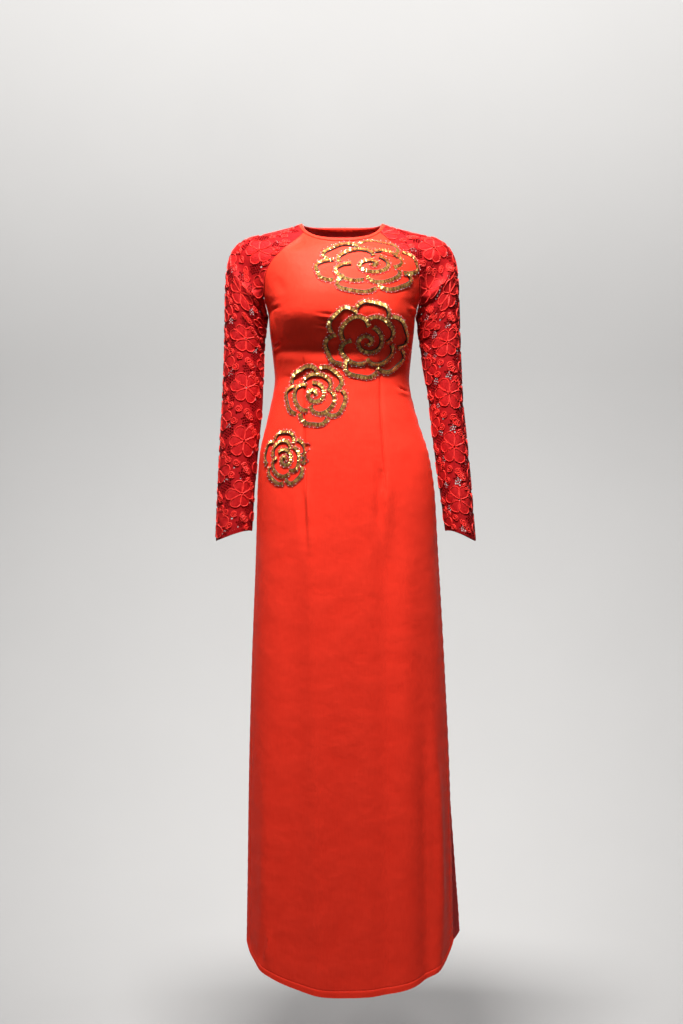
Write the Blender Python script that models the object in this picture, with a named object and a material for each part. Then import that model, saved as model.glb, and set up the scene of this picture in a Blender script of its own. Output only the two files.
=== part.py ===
"""An ao dai tunic as it hangs on a wearer: satin front and back panels, slit from the waist down,
raglan sleeves of corded flower lace, a narrow neck binding and four beaded outline roses.

Metres, +Z up. The wearer looks along -Y, so +X is the wearer's left. The origin is between the two
points where the shoulders meet the neck, at their height.
"""

import itertools
import math

import bpy
import numpy as np
from mathutils.bvhtree import BVHTree
from mathutils.geometry import delaunay_2d_cdt

SATIN_WALL = 0.0015  # the satin, with the thickness that its seam allowances give it
LACE_WALL = 0.0016  # corded lace
SEAM_GAP = 0.0004  # left open between two pieces at a seam

for old_object in list(bpy.data.objects):
    bpy.data.objects.remove(old_object, do_unlink=True)


# ---------------------------------------------------------------- tables and curves

class Table:
    """A table with named columns. A value between two rows lies on a smooth curve with no overshoot."""

    def __init__(self, names, *rows):
        self.key, *self.names = names.split()
        self.rows = np.array(rows, float)

    def __getitem__(self, name):
        return self.rows[:, 0] if name == self.key else self.rows[:, 1 + self.names.index(name)]

    def at(self, name, key):
        x, y = self[self.key], self[name]
        key = np.clip(np.asarray(key, float), x[0], x[-1])
        step, rise = np.diff(x), np.diff(y)
        slope = rise / step
        middle = np.zeros(len(x))
        same_way = slope[:-1] * slope[1:] > 0
        weight_a, weight_b = 2 * step[1:] + step[:-1], step[1:] + 2 * step[:-1]
        with np.errstate(divide="ignore", invalid="ignore"):
            mean = (weight_a + weight_b) / (weight_a / slope[:-1] + weight_b / slope[1:])
        middle[1:-1] = np.where(same_way, mean, 0.0)
        middle[0], middle[-1] = slope[0], slope[-1]
        i = np.clip(np.searchsorted(x, key, side="right") - 1, 0, len(step) - 1)
        t = (key - x[i]) / step[i]
        return (
            y[i] * (1 + 2 * t) * (1 - t) ** 2
            + y[i + 1] * t * t * (3 - 2 * t)
            + step[i] * (middle[i] * t * (1 - t) ** 2 - middle[i + 1] * t * t * (1 - t))
        )


def unit(vectors):
    return vectors / np.maximum(np.linalg.norm(vectors, axis=-1, keepdims=True), 1e-12)


def stack(*parts):
    return np.stack(np.broadcast_arrays(*parts), axis=-1)


def along_bezier(corners, share):
    """Points at a share of the length of cubic curves. corners is four arrays of points."""
    steps = np.linspace(0, 1, 25)

    def cubic(t):
        weights = ((1 - t) ** 3, 3 * t * (1 - t) ** 2, 3 * t * t * (1 - t), t ** 3)
        return sum(w[..., None] * c for w, c in zip(weights, corners))

    spread = np.stack([cubic(np.full(share.shape, t)) for t in steps])
    run = np.concatenate([np.zeros((1,) + share.shape),
                          np.cumsum(np.linalg.norm(np.diff(spread, axis=0), axis=-1), axis=0)])
    run /= run[-1]
    i = np.clip((run <= share).sum(axis=0) - 1, 0, len(steps) - 2)
    low, high = (np.take_along_axis(run, j[None], 0)[0] for j in (i, i + 1))
    return cubic(steps[i] + (share - low) / np.maximum(high - low, 1e-9) * (steps[1] - steps[0]))


# ---------------------------------------------------------------- satin panels

# Each row is one line across half a panel, from its middle (mid_) to its edge (edge_). Depth is
# measured away from the side seams, to the front or to the back. turn is how far the cloth has
# turned round the body where it ends, in degrees: 0 is straight out sideways. The pulls are the
# lengths over which the row keeps its direction at either end. lean moves the row sideways.
# Level 0 is the neck, 6 the underarm, 9 the waist, 10 the top of the slit and 19 the hem.
ROW_NAMES = "level mid_z depth edge_x edge_depth edge_z turn mid_pull edge_pull lean"
FRONT_ROWS = Table(
    ROW_NAMES,
    (0, -0.0454, 0.0787, 0.0668, 0.0452, -0.0250, 54, 0.036, 0.024, 0),
    (1, -0.0580, 0.0850, 0.0800, 0.0600, -0.0390, 36, 0.040, 0.026, 0),
    (2, -0.0780, 0.0930, 0.1050, 0.0690, -0.0600, 32, 0.050, 0.030, 0),
    (3, -0.0980, 0.1000, 0.1250, 0.0660, -0.0820, 36, 0.060, 0.034, 0),
    (4, -0.1200, 0.1050, 0.1350, 0.0580, -0.1070, 46, 0.070, 0.038, 0),
    (5, -0.1450, 0.1085, 0.1370, 0.0400, -0.1390, 64, 0.084, 0.044, 0),
    (6, -0.1720, 0.1090, 0.1310, 0.0000, -0.1720, 90, 0.096, 0.070, 0),
    (7, -0.2000, 0.1045, 0.1290, -0.0010, -0.2000, 90, 0.092, 0.066, 0),
    (8, -0.2340, 0.0950, 0.1255, -0.0010, -0.2340, 90, 0.082, 0.058, 0),
    (9, -0.2840, 0.0850, 0.1210, -0.0010, -0.2840, 90, 0.072, 0.050, 0),
    (10, -0.3130, 0.0880, 0.1245, 0.0000, -0.3130, 90, 0.072, 0.052, 0),
    (11, -0.3600, 0.0960, 0.1355, 0.0020, -0.3600, 89, 0.080, 0.056, 0.001),
    (12, -0.4200, 0.1020, 0.1515, 0.0060, -0.4200, 88, 0.092, 0.060, 0.004),
    (13, -0.4800, 0.1050, 0.1580, 0.0100, -0.4800, 86, 0.098, 0.060, 0.007),
    (14, -0.6000, 0.1070, 0.1630, 0.0160, -0.6000, 82, 0.102, 0.058, 0.009),
    (15, -0.8000, 0.1100, 0.1720, 0.0260, -0.8000, 76, 0.108, 0.056, 0.011),
    (16, -1.0000, 0.1140, 0.1785, 0.0360, -1.0000, 70, 0.112, 0.054, 0.013),
    (17, -1.2000, 0.1190, 0.1815, 0.0450, -1.1840, 66, 0.114, 0.052, 0.014),
    (18, -1.3100, 0.1225, 0.1825, 0.0500, -1.2620, 64, 0.114, 0.050, 0.014),
    (19, -1.3640, 0.1250, 0.1830, 0.0520, -1.2960, 62, 0.114, 0.050, 0.014),
)
BACK_ROWS = Table(
    ROW_NAMES,
    (0, -0.0064, 0.0622, 0.0552, 0.0437, -0.0074, 46, 0.030, 0.018, 0),
    (1, -0.0220, 0.0700, 0.0700, 0.0545, -0.0230, 32, 0.036, 0.022, 0),
    (2, -0.0500, 0.0820, 0.0950, 0.0640, -0.0490, 28, 0.048, 0.028, 0),
    (3, -0.0800, 0.0910, 0.1170, 0.0660, -0.0780, 30, 0.058, 0.032, 0),
    (4, -0.1120, 0.0960, 0.1325, 0.0600, -0.1080, 44, 0.068, 0.036, 0),
    (5, -0.1430, 0.0975, 0.1380, 0.0420, -0.1410, 64, 0.080, 0.042, 0),
    (6, -0.1720, 0.0965, 0.1310, 0.0000, -0.1720, 90, 0.092, 0.062, 0),
    (7, -0.2000, 0.0930, 0.1290, 0.0010, -0.2000, 90, 0.088, 0.060, 0),
    (8, -0.2340, 0.0860, 0.1255, 0.0010, -0.2340, 90, 0.082, 0.054, 0),
    (9, -0.2840, 0.0760, 0.1210, 0.0010, -0.2840, 90, 0.074, 0.048, 0),
    (10, -0.3130, 0.0790, 0.1240, 0.0020, -0.3130, 90, 0.074, 0.048, 0),
    (11, -0.3600, 0.0920, 0.1330, 0.0060, -0.3600, 89, 0.082, 0.052, 0),
    (12, -0.4200, 0.1050, 0.1420, 0.0140, -0.4200, 87, 0.090, 0.056, 0.001),
    (13, -0.4800, 0.1110, 0.1460, 0.0240, -0.4800, 84, 0.094, 0.056, 0.003),
    (14, -0.6000, 0.1120, 0.1540, 0.0340, -0.6000, 78, 0.098, 0.052, 0.007),
    (15, -0.8000, 0.1100, 0.1660, 0.0420, -0.8000, 72, 0.106, 0.050, 0.012),
    (16, -1.0000, 0.1090, 0.1780, 0.0480, -1.0000, 66, 0.112, 0.048, 0.016),
    (17, -1.2000, 0.1090, 0.1880, 0.0520, -1.1880, 60, 0.116, 0.046, 0.020),
    (18, -1.3150, 0.1100, 0.1920, 0.0550, -1.2700, 58, 0.118, 0.046, 0.022),
    (19, -1.3700, 0.1110, 0.1930, 0.0560, -1.3040, 56, 0.118, 0.046, 0.022),
)
NECK, UNDERARM, HEM = 0, 6, 19
ROW_BOW = 2.2  # how a row climbs from its middle to its edge: a power of the share of its length
CORNER_RISE, CORNER_POWER = 0.016, 12  # the rounding of the hem's corners

# The bust: the cloth is taut over its two high points and nearly flat between them.
BUST_RISE, BUST_Z, BUST_ABOVE, BUST_BELOW = 0.016, -0.166, 0.070, 0.044
BUST_HALF_WIDTH, BUST_DIP, BUST_DIP_WIDTH = 0.108, 0.16, 0.030

# Soft vertical folds of the hanging part. across is the way along the cloth from the middle of the
# panel, towards the wearer's left, at FOLDS_TOP (top_across) and at the hem. rise is outward.
FOLDS_TOP, FOLDS_BOTTOM = -0.313, -1.360
FOLD_NAMES = "number top_across hem_across width top_z full_z rise"
FRONT_FOLDS = Table(
    FOLD_NAMES,
    (0, -0.066, -0.050, 0.020, -0.47, -0.62, 0.0045),
    (1, -0.098, -0.096, 0.026, -0.50, -0.80, -0.0040),
    (2, 0.068, 0.060, 0.020, -0.47, -0.62, -0.0050),
    (3, 0.104, 0.104, 0.024, -0.48, -0.70, 0.0045),
    (4, 0.150, 0.160, 0.014, -0.80, -1.05, 0.0060),
    (5, -0.138, -0.158, 0.016, -0.85, -1.15, 0.0045),
    (6, 0.004, 0.010, 0.034, -0.70, -1.10, -0.0035),
    (7, 0.132, 0.137, 0.012, -0.85, -1.10, -0.0035),
)
BACK_FOLDS = Table(
    FOLD_NAMES,
    (0, -0.110, -0.120, 0.022, -0.52, -0.80, 0.0065),
    (1, -0.060, -0.066, 0.024, -0.52, -0.80, -0.0065),
    (2, -0.010, -0.012, 0.024, -0.56, -0.85, 0.0060),
    (3, 0.046, 0.048, 0.024, -0.52, -0.80, -0.0065),
    (4, 0.104, 0.112, 0.022, -0.52, -0.80, 0.0070),
    (5, 0.140, 0.158, 0.014, -0.70, -0.95, -0.0050),
)

# Darts: a seam that sinks into the cloth. Each runs down a panel's dart column.
DART_NAMES = "number top_z bottom_z depth"
FRONT_DARTS = Table(DART_NAMES, (0, -0.250, -0.492, 0.0022), (1, -0.250, -0.492, 0.0022))
BACK_DARTS = Table(DART_NAMES, (0, -0.190, -0.430, 0.0022), (1, -0.190, -0.430, 0.0022))
DART_WIDTH = 0.004
DART_ACROSS = 0.070  # the dart column's distance from the panel's middle, from the bust down
DART_SHARE_AT_NECK = 0.44
DART_MIX = (2.0, 6.0)  # the levels over which its place changes from that share to DART_ACROSS

FINE_LEVELS, FINE_SHARES = 400, 60  # steps used to measure a surface
ASIDE = 0.001  # step in share used to find which way a row runs


def smooth(low, high, value):
    t = np.clip((value - low) / (high - low), 0, 1)
    return t * t * (3 - 2 * t)


class Panel:
    """A satin panel. A point on it is given by its level and by its share of the way from the middle
    to an edge, from -1 at the wearer's right to 1 at the left."""

    def __init__(self, rows, folds, darts, facing):
        self.rows, self.folds, self.darts, self.facing = rows, folds, darts, facing
        self.dense = np.linspace(NECK, HEM, FINE_LEVELS)
        rows = self.plan(np.linspace(0, 1, FINE_SHARES)[:, None], self.dense[None])
        self.lengths = np.linalg.norm(np.diff(rows, axis=0), axis=-1).sum(0)

    def plan(self, share, level):
        """Where a row runs, seen from above, before folds: sideways and depth."""
        row = {name: self.rows.at(name, level) for name in self.rows.names}
        turn = np.radians(row["turn"])
        ends = (
            stack(0 * turn, row["depth"]),
            stack(row["mid_pull"], row["depth"]),
            stack(row["edge_x"] - row["edge_pull"] * np.cos(turn),
                  row["edge_depth"] + row["edge_pull"] * np.sin(turn)),
            stack(row["edge_x"], row["edge_depth"]),
        )
        share, _ = np.broadcast_arrays(share, level)
        return along_bezier([np.broadcast_to(e, share.shape + (2,)) for e in ends], share)

    def length(self, level):
        """The length of half a row, from the panel's middle to its edge."""
        return np.interp(level, self.dense, self.lengths)

    def height(self, share, level):
        mid, edge = self.rows.at("mid_z", level), self.rows.at("edge_z", level)
        corner = CORNER_RISE * smooth(HEM - 1, HEM, level) * np.abs(share) ** CORNER_POWER
        return mid + (edge - mid) * np.abs(share) ** ROW_BOW + corner

    def level_of(self, z, share=0.0):
        """The level at which a row crosses a height."""
        heights = self.height(np.abs(share), self.dense)
        return np.interp(-np.asarray(z), -heights, self.dense)

    def dart_share(self, level):
        """The share of a row at which its dart column lies."""
        below = DART_ACROSS / self.length(level)
        mix = smooth(*DART_MIX, np.asarray(level, float))
        return DART_SHARE_AT_NECK * (1 - mix) + below * mix

    def relief(self, across, z):
        """How far the cloth stands out from its row, in metres."""
        hang = np.clip((FOLDS_TOP - z) / (FOLDS_TOP - FOLDS_BOTTOM), 0, 1)
        out = 0 * z
        for _, top, hem, width, top_z, full_z, rise in self.folds.rows:
            centre = top + (hem - top) * hang
            out = out + rise * smooth(-top_z, -full_z, -z) * np.exp(-((across - centre) / width) ** 2)
        for side, (_, top_z, bottom_z, depth) in zip((-1, 1), self.darts.rows):
            run = (top_z - z) / (top_z - bottom_z)
            strength = np.where((run > 0) & (run < 1), np.sin(np.pi * np.clip(run, 0, 1)) ** 0.5, 0)
            gap = across - side * DART_ACROSS
            out = out - depth * strength * np.exp(-((gap / DART_WIDTH) ** 2))
        if self.facing < 0:
            out = out + self.bust(across, z)
        return out

    def bust(self, across, z):
        reach = np.where(z > BUST_Z, BUST_ABOVE, BUST_BELOW)
        flat = 1 / (1 + (np.abs(across) / BUST_HALF_WIDTH) ** 6)
        dip = 1 - BUST_DIP * np.exp(-((across / BUST_DIP_WIDTH) ** 2))
        return BUST_RISE * flat * dip * np.exp(-(((z - BUST_Z) / reach) ** 2))

    def point(self, share, level):
        """A point on the outer face of the panel."""
        share, level = np.broadcast_arrays(np.asarray(share, float), np.asarray(level, float))
        side = np.where(share < 0, -1.0, 1.0)
        reach = np.clip(np.abs(share), 0, 1)
        at = self.plan(reach, level)
        near_edge = np.minimum(reach + ASIDE, 1)
        ahead = unit(self.plan(near_edge, level) - self.plan(near_edge - 2 * ASIDE, level))
        z = self.height(share, level)
        rise = self.relief(share * self.length(level), z)
        x = side * (at[..., 0] - ahead[..., 1] * rise) + self.rows.at("lean", level)
        y = self.facing * (at[..., 1] + ahead[..., 0] * rise)
        return stack(x, y, z)


FRONT = Panel(FRONT_ROWS, FRONT_FOLDS, FRONT_DARTS, facing=-1)
BACK = Panel(BACK_ROWS, BACK_FOLDS, BACK_DARTS, facing=1)


def normals_of(surface, a, b, step_a, step_b, limits_a, limits_b):
    """Normals of a surface of two parameters, from points on either side of each one."""
    a0, a1 = np.clip(a - step_a, *limits_a), np.clip(a + step_a, *limits_a)
    b0, b1 = np.clip(b - step_b, *limits_b), np.clip(b + step_b, *limits_b)
    return unit(np.cross(surface(a1, b) - surface(a0, b), surface(a, b1) - surface(a, b0)))


# ---------------------------------------------------------------- solids from sheets

def new_object(name, points, faces, material):
    mesh = bpy.data.meshes.new(name)
    mesh.from_pydata([tuple(p) for p in points], [], [tuple(int(i) for i in f) for f in faces])
    mesh.materials.append(material)
    mesh.shade_smooth()
    mesh.set_sharp_from_angle(angle=math.radians(50))
    made = bpy.data.objects.new(name, mesh)
    bpy.context.scene.collection.objects.link(made)
    return made


def wall(name, outer, inner, triangles, material):
    """A closed wall between an outer and an inner face that share their triangles."""
    triangles = np.asarray(triangles)
    count = len(outer)
    edges = set()
    for a, b, c in triangles:
        edges |= {(a, b), (b, c), (c, a)}
    rim = [(a, b) for a, b in edges if (b, a) not in edges]
    faces = [tuple(t) for t in triangles] + [tuple(t[::-1] + count) for t in triangles]
    for a, b in rim:
        faces += [(b, a, a + count), (b, a + count, b + count)]
    return new_object(name, np.vstack([outer, inner]), faces, material)


def grid_triangles(rows, columns, flip):
    out = []
    for i in range(rows - 1):
        for j in range(columns - 1):
            a, b = i * columns + j, i * columns + j + 1
            c, d = a + columns, b + columns
            two = [(a, c, b), (b, c, d)] if (i + j) % 2 else [(a, c, d), (a, d, b)]
            out += [t[::-1] for t in two] if flip else two
    return np.array(out)


def panel_columns(panel, levels, inside, outside):
    """Shares across a panel at each level: the middle, its dart columns and even steps between."""
    dart = panel.dart_share(levels)[:, None]
    edge = 1 - SEAM_GAP / 2 / panel.length(levels)[:, None]
    inner = np.array(inside)[None] * dart
    outer = dart + np.array(outside)[None] * (edge - dart)
    half = np.hstack([inner, outer])
    return np.hstack([-half[:, :0:-1], half])


def panel_solid(name, panel, levels, inside, outside, material):
    shares = panel_columns(panel, levels, inside, outside)
    level_grid = np.repeat(levels[:, None], shares.shape[1], axis=1)
    outer = panel.point(shares, level_grid)
    facing = normals_of(panel.point, shares, level_grid, 4e-3, 0.03, (-1, 1), (NECK, HEM))
    facing = facing * np.where((facing[..., 1] * panel.facing).sum() < 0, -1, 1)
    inner = outer - facing * SATIN_WALL
    rows, columns = shares.shape
    triangles = grid_triangles(rows, columns, flip=panel.facing > 0)
    return wall(name, outer.reshape(-1, 3), inner.reshape(-1, 3), triangles, material)


def levels_down(panel, spacings):
    """Levels spaced down the panel's middle. spacings is pairs: a height, and the step down to it."""
    heights = [float(panel.height(0.0, np.array(0.0)))]
    for bottom, step in spacings:
        count = max(1, round((heights[-1] - bottom) / step))
        heights += list(np.linspace(heights[-1], bottom, count + 1)[1:])
    levels = panel.level_of(np.array(heights))
    levels[0], levels[-1] = NECK, HEM
    return levels


# ---------------------------------------------------------------- sleeves

# Down to the underarm a sleeve's rows run from the raglan seam of a panel over the shoulder; from
# there down they run round the arm. out_ is the outer side and in_ the underarm side. The pulls are as
# in the panels, at the outer line and at the seam. fold is how far the sleeve has turned at the seam,
# from lying on with the panel to lying against the body's side.
SLEEVE_NAMES = "level out_x out_y out_z in_x in_y in_z out_pull seam_pull fold"
RAGLAN_ROWS = (
    (0, 0.0762, 0.0005, -0.0064, 0, 0, 0, 0.0170, 0.015, 0),
    (1, 0.0950, 0.0030, -0.0125, 0, 0, 0, 0.0300, 0.024, 0),
    (2, 0.1330, 0.0060, -0.0220, 0, 0, 0, 0.0440, 0.031, 0),
    (3, 0.1700, 0.0085, -0.0300, 0, 0, 0, 0.0540, 0.036, 0),
    (4, 0.1930, 0.0100, -0.0460, 0, 0, 0, 0.0590, 0.037, 0.05),
    (5, 0.2055, 0.0110, -0.0750, 0, 0, 0, 0.0600, 0.036, 0.50),
)
RIGHT_SLEEVE_ROWS = Table(
    SLEEVE_NAMES,
    *RAGLAN_ROWS,
    (6, 0.2100, 0.0115, -0.1150, 0.1310, 0.0000, -0.1720, 0.0613, 0.0613, 1),
    (7, 0.2110, 0.0120, -0.1650, 0.1345, 0.0060, -0.1980, 0.0600, 0.0600, 1),
    (8, 0.2120, 0.0120, -0.2300, 0.1385, 0.0100, -0.2420, 0.0573, 0.0573, 1),
    (9, 0.2155, 0.0110, -0.3200, 0.1405, 0.0100, -0.3220, 0.0547, 0.0547, 1),
    (10, 0.2200, 0.0090, -0.4000, 0.1475, 0.0080, -0.4000, 0.0527, 0.0527, 1),
    (11, 0.2235, 0.0050, -0.4800, 0.1545, 0.0040, -0.4780, 0.0507, 0.0507, 1),
    (12, 0.2270, 0.0000, -0.5740, 0.1590, -0.0020, -0.5560, 0.0493, 0.0493, 1),
)
LEFT_SLEEVE_ROWS = Table(
    SLEEVE_NAMES,
    *RAGLAN_ROWS,
    (6, 0.2100, 0.0115, -0.1150, 0.1310, 0.0000, -0.1720, 0.0613, 0.0613, 1),
    (7, 0.2115, 0.0120, -0.1650, 0.1345, 0.0060, -0.1980, 0.0607, 0.0607, 1),
    (8, 0.2135, 0.0120, -0.2300, 0.1410, 0.0100, -0.2420, 0.0587, 0.0587, 1),
    (9, 0.2175, 0.0110, -0.3200, 0.1540, 0.0100, -0.3220, 0.0573, 0.0573, 1),
    (10, 0.2255, 0.0090, -0.4000, 0.1625, 0.0080, -0.4000, 0.0560, 0.0560, 1),
    (11, 0.2325, 0.0050, -0.4800, 0.1730, 0.0040, -0.4780, 0.0553, 0.0553, 1),
    (12, 0.2395, 0.0000, -0.5740, 0.1830, -0.0020, -0.5560, 0.0553, 0.0553, 1),
)
CUFF = 12
FOLDED_CLEARANCE = 0.0022  # between a sleeve and the body's side, where they lie against each other
FOLDED_SPREAD = 0.30  # how fast they part, as a slope
FOLDED_DROP = 0.1  # how fast the sleeve drops there, as a slope
NEXT_TO_EDGE = 0.985  # the share of a panel's row from which its way at the seam is taken


class Sleeve:
    """Half of a lace sleeve, in front of or behind the line over the shoulder and down the arm's outer
    side. A point is given by its share of the way from that line to the seam, and by its level."""

    def __init__(self, rows, panel, side):
        self.rows, self.panel, self.side = rows, panel, side
        self.dense = np.linspace(NECK, CUFF, FINE_LEVELS)
        points = self.point(np.linspace(0, 1, FINE_SHARES)[:, None], self.dense[None])
        self.across = np.linalg.norm(np.diff(points, axis=0), axis=-1).sum(0)
        steps = np.linalg.norm(np.diff(points[0], axis=0), axis=-1)
        self.down = np.concatenate([[0], np.cumsum(steps)])

    def point(self, share, level):
        share, level = np.broadcast_arrays(np.asarray(share, float), np.asarray(level, float))
        row = {name: self.rows.at(name, level) for name in self.rows.names}
        facing = self.panel.facing
        top = stack(row["out_x"], row["out_y"], row["out_z"])
        raglan = np.minimum(level, UNDERARM)
        edge = self.panel.point(np.ones(level.shape), raglan)
        outward = unit(edge - self.panel.point(np.full(level.shape, NEXT_TO_EDGE), raglan))
        under = stack(row["in_x"], row["in_y"], row["in_z"])
        seam = np.where((level < UNDERARM)[..., None], edge, under)
        fold = row["fold"][..., None]
        seam = seam + fold * np.array([FOLDED_CLEARANCE, 0, 0])
        back_in = np.array([-FOLDED_SPREAD, -facing, -FOLDED_DROP])
        arrive = unit((fold - 1) * outward + fold * back_in)
        turned = stack(0 * level, facing + 0 * level, 0 * level)
        corners = (top, top + turned * row["out_pull"][..., None],
                   seam - arrive * row["seam_pull"][..., None], seam)
        made = along_bezier(corners, share)
        return made * np.array([self.side, 1, 1])

    def flat(self, share, level):
        """Where a point lies on the cloth laid flat: across from the outer line, and down along it."""
        return (share * np.interp(level, self.dense, self.across),
                np.interp(level, self.dense, self.down))

    def unflat(self, across, down):
        level = np.interp(down, self.down, self.dense)
        return across / np.interp(level, self.dense, self.across), level


SLEEVES = {
    "sleeve_right_front": Sleeve(RIGHT_SLEEVE_ROWS, FRONT, -1),
    "sleeve_right_back": Sleeve(RIGHT_SLEEVE_ROWS, BACK, -1),
    "sleeve_left_front": Sleeve(LEFT_SLEEVE_ROWS, FRONT, 1),
    "sleeve_left_back": Sleeve(LEFT_SLEEVE_ROWS, BACK, 1),
}

# The lace repeats in a half drop: a big flower, and patches of open net beside it. It lies over both
# halves of a sleeve, and the same way up and round on both arms. The first flower is measured across
# from the outer line, towards the front, and down along that line. A gap's middle is measured from
# the flower's, towards the wearer's left and down, and lean tips its lower end to the left, in degrees.
LACE_ACROSS, LACE_DOWN = 0.052, 0.0975
FIRST_FLOWERS = {-1: (0.019, 0.0418), 1: (0.003, 0.0530)}  # of the right and the left sleeve
LACE_GAPS = Table(
    "number across down half_across half_down lean",
    (0, -0.0300, -0.0200, 0.0068, 0.0125, 24),
    (1, -0.0260, 0.0190, 0.0042, 0.0078, -12),
    (2, 0.0010, -0.0370, 0.0046, 0.0090, -14),
)
GAP_CORNERS = ((-0.35, -1.0), (0.8, -0.7), (1.0, 0.3), (0.2, 1.0), (-0.9, 0.6), (-1.0, -0.3))
GAP_MARGIN = 0.006  # cloth kept between a gap and the edge of its piece
LACE_STEP = 0.023  # between the points of the wall, away from gaps
CORNER_MARGIN = 0.007  # between such a point and a gap's corners
GAP_REACH = (0.008, 0.012)  # no such point lies within this, across and down, of a gap's middle
ABOVE_ROWS, BELOW_ROWS = 15, 25  # points on a half's sides, above and below the underarm
NECK_COLUMNS, CUFF_COLUMNS = 5, 7  # points on its ends


def lace_gaps(sleeve, border):
    """The corner loops of the gaps of a half of a sleeve, clear of its border, as they lie on it."""
    first_across, first_down = FIRST_FLOWERS[sleeve.side]
    across_reach, down_reach = border.max(axis=0)
    columns, rows = math.ceil(across_reach / LACE_ACROSS), math.ceil(down_reach / LACE_DOWN)
    found = []
    for column, row in itertools.product(range(-columns - 1, columns + 2), range(-1, rows + 2)):
        drop = (row + column % 2 / 2) * LACE_DOWN
        for _, aside, below, half_across, half_down, lean in LACE_GAPS.rows:
            turn = math.radians(lean)
            spin = np.array([[math.cos(turn), math.sin(turn)], [-math.sin(turn), math.cos(turn)]])
            loop = (column * LACE_ACROSS + aside, drop + below)
            loop = loop + np.array(GAP_CORNERS) * (half_across, half_down) @ spin
            across = (first_across - sleeve.side * loop[:, 0]) * -sleeve.panel.facing
            down = first_down + loop[:, 1]
            limit = np.interp(down, sleeve.down, sleeve.across)
            room = (across, down, limit - across, down_reach - down)
            if min(side.min() for side in room) >= GAP_MARGIN:
                found.append(np.stack([across, down], axis=1))
    return found


def cloth_points(sleeve, gaps):
    """Evenly spaced points of the cloth, clear of its border and gaps."""
    kept = []
    middles = [gap.mean(axis=0) for gap in gaps]
    for down in np.arange(LACE_STEP / 2, sleeve.down[-1] - GAP_MARGIN, LACE_STEP):
        limit = np.interp(down, sleeve.down, sleeve.across) - GAP_MARGIN
        for across in np.arange(LACE_STEP / 2, limit, LACE_STEP):
            point = np.array([across, down])
            near = any(np.linalg.norm(gap - point, axis=1).min() <= CORNER_MARGIN for gap in gaps)
            inside = any((np.abs(middle - point) < GAP_REACH).all() for middle in middles)
            if not near and not inside:
                kept.append((across, down))
    return kept


def sleeve_solid(name, sleeve, material):
    """One half of a sleeve, cut through at its larger gaps."""
    levels = np.concatenate([np.linspace(NECK, UNDERARM, ABOVE_ROWS),
                             np.linspace(UNDERARM, CUFF, BELOW_ROWS)[1:]])
    clear = SEAM_GAP / 2 / np.interp(levels, sleeve.dense, sleeve.across)
    loop = np.array(
        list(zip(clear, levels))
        + [(share, CUFF) for share in np.linspace(0, 1, CUFF_COLUMNS)[1:-1]]
        + list(zip(1 - clear[::-1], levels[::-1]))
        + [(share, NECK) for share in np.linspace(1, 0, NECK_COLUMNS)[1:-1]])
    border = np.stack(sleeve.flat(loop[:, 0], loop[:, 1]), axis=1)
    gaps = lace_gaps(sleeve, border)
    coords = [tuple(point) for point in border]
    edges = [(i, (i + 1) % len(border)) for i in range(len(border))]
    gap_of = [-1] * len(border)
    for number, gap in enumerate(gaps):
        start = len(coords)
        coords += [tuple(corner) for corner in gap]
        edges += [(start + i, start + (i + 1) % len(gap)) for i in range(len(gap))]
        gap_of += [number] * len(gap)
    coords += cloth_points(sleeve, gaps)
    flat, _, faces, *_ = delaunay_2d_cdt(coords, edges, [], 2, 1e-7)
    flat = np.array([tuple(point) for point in flat])
    gap_of += [-1] * (len(flat) - len(gap_of))
    cloth = [face for face in faces if gap_of[face[0]] < 0 or len({gap_of[i] for i in face}) > 1]
    share, level = sleeve.unflat(flat[:, 0], flat[:, 1])
    share = np.clip(share, 0, 1)
    outer = sleeve.point(share, level)
    facing = normals_of(sleeve.point, share, level, 0.02, 0.06, (0, 1), (NECK, CUFF))
    flip = sleeve.side * sleeve.panel.facing > 0
    inner = outer - facing * (LACE_WALL if flip else -LACE_WALL)
    return wall(name, outer, inner, [face[::1 if flip else -1] for face in cloth], material)


# ---------------------------------------------------------------- neck binding

# The section of the binding: how far out from the cloth, and how far up from its edge.
BINDING_SECTION = Table(
    "corner out up",
    (0, 0.0006, 0.0006),
    (1, 0.0011, 0.0018),
    (2, 0.0010, 0.0048),
    (3, 0.0001, 0.0062),
    (4, -0.0016, 0.0062),
    (5, -0.0025, 0.0048),
    (6, -0.0026, 0.0018),
    (7, -0.0021, 0.0006),
)
BINDING_STEPS = 50
NECK_STEPS = 30  # points along each piece's neck edge, or half of a panel's
BELOW_NECK = 0.3  # the level from which the way up to the edge is taken


def neck_edge():
    """The edge of the neck, all round: its points, and the way up along the cloth at each."""
    half = np.linspace(0, 1, NECK_STEPS)[:-1]
    whole = np.linspace(-1, 1, 2 * NECK_STEPS)[:-1]
    stretches = (
        (FRONT, whole),
        (SLEEVES["sleeve_left_front"], 1 - half),
        (SLEEVES["sleeve_left_back"], half),
        (BACK, -whole),
        (SLEEVES["sleeve_right_back"], 1 - half),
        (SLEEVES["sleeve_right_front"], half),
    )
    edge = np.vstack([piece.point(shares, NECK) for piece, shares in stretches])
    below = np.vstack([piece.point(shares, BELOW_NECK) for piece, shares in stretches])
    closed = np.vstack([edge, edge[:1]])
    run = np.concatenate([[0], np.cumsum(np.linalg.norm(np.diff(closed, axis=0), axis=1))])
    at = np.linspace(0, run[-1], BINDING_STEPS, endpoint=False)
    up = unit(edge - below)
    up = np.vstack([up, up[:1]])
    points = np.stack([np.interp(at, run, closed[:, i]) for i in range(3)], axis=1)
    ways = np.stack([np.interp(at, run, up[:, i]) for i in range(3)], axis=1)
    for _ in range(2):
        ways = unit(np.roll(ways, 1, axis=0) + 2 * ways + np.roll(ways, -1, axis=0))
    return points, ways


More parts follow.
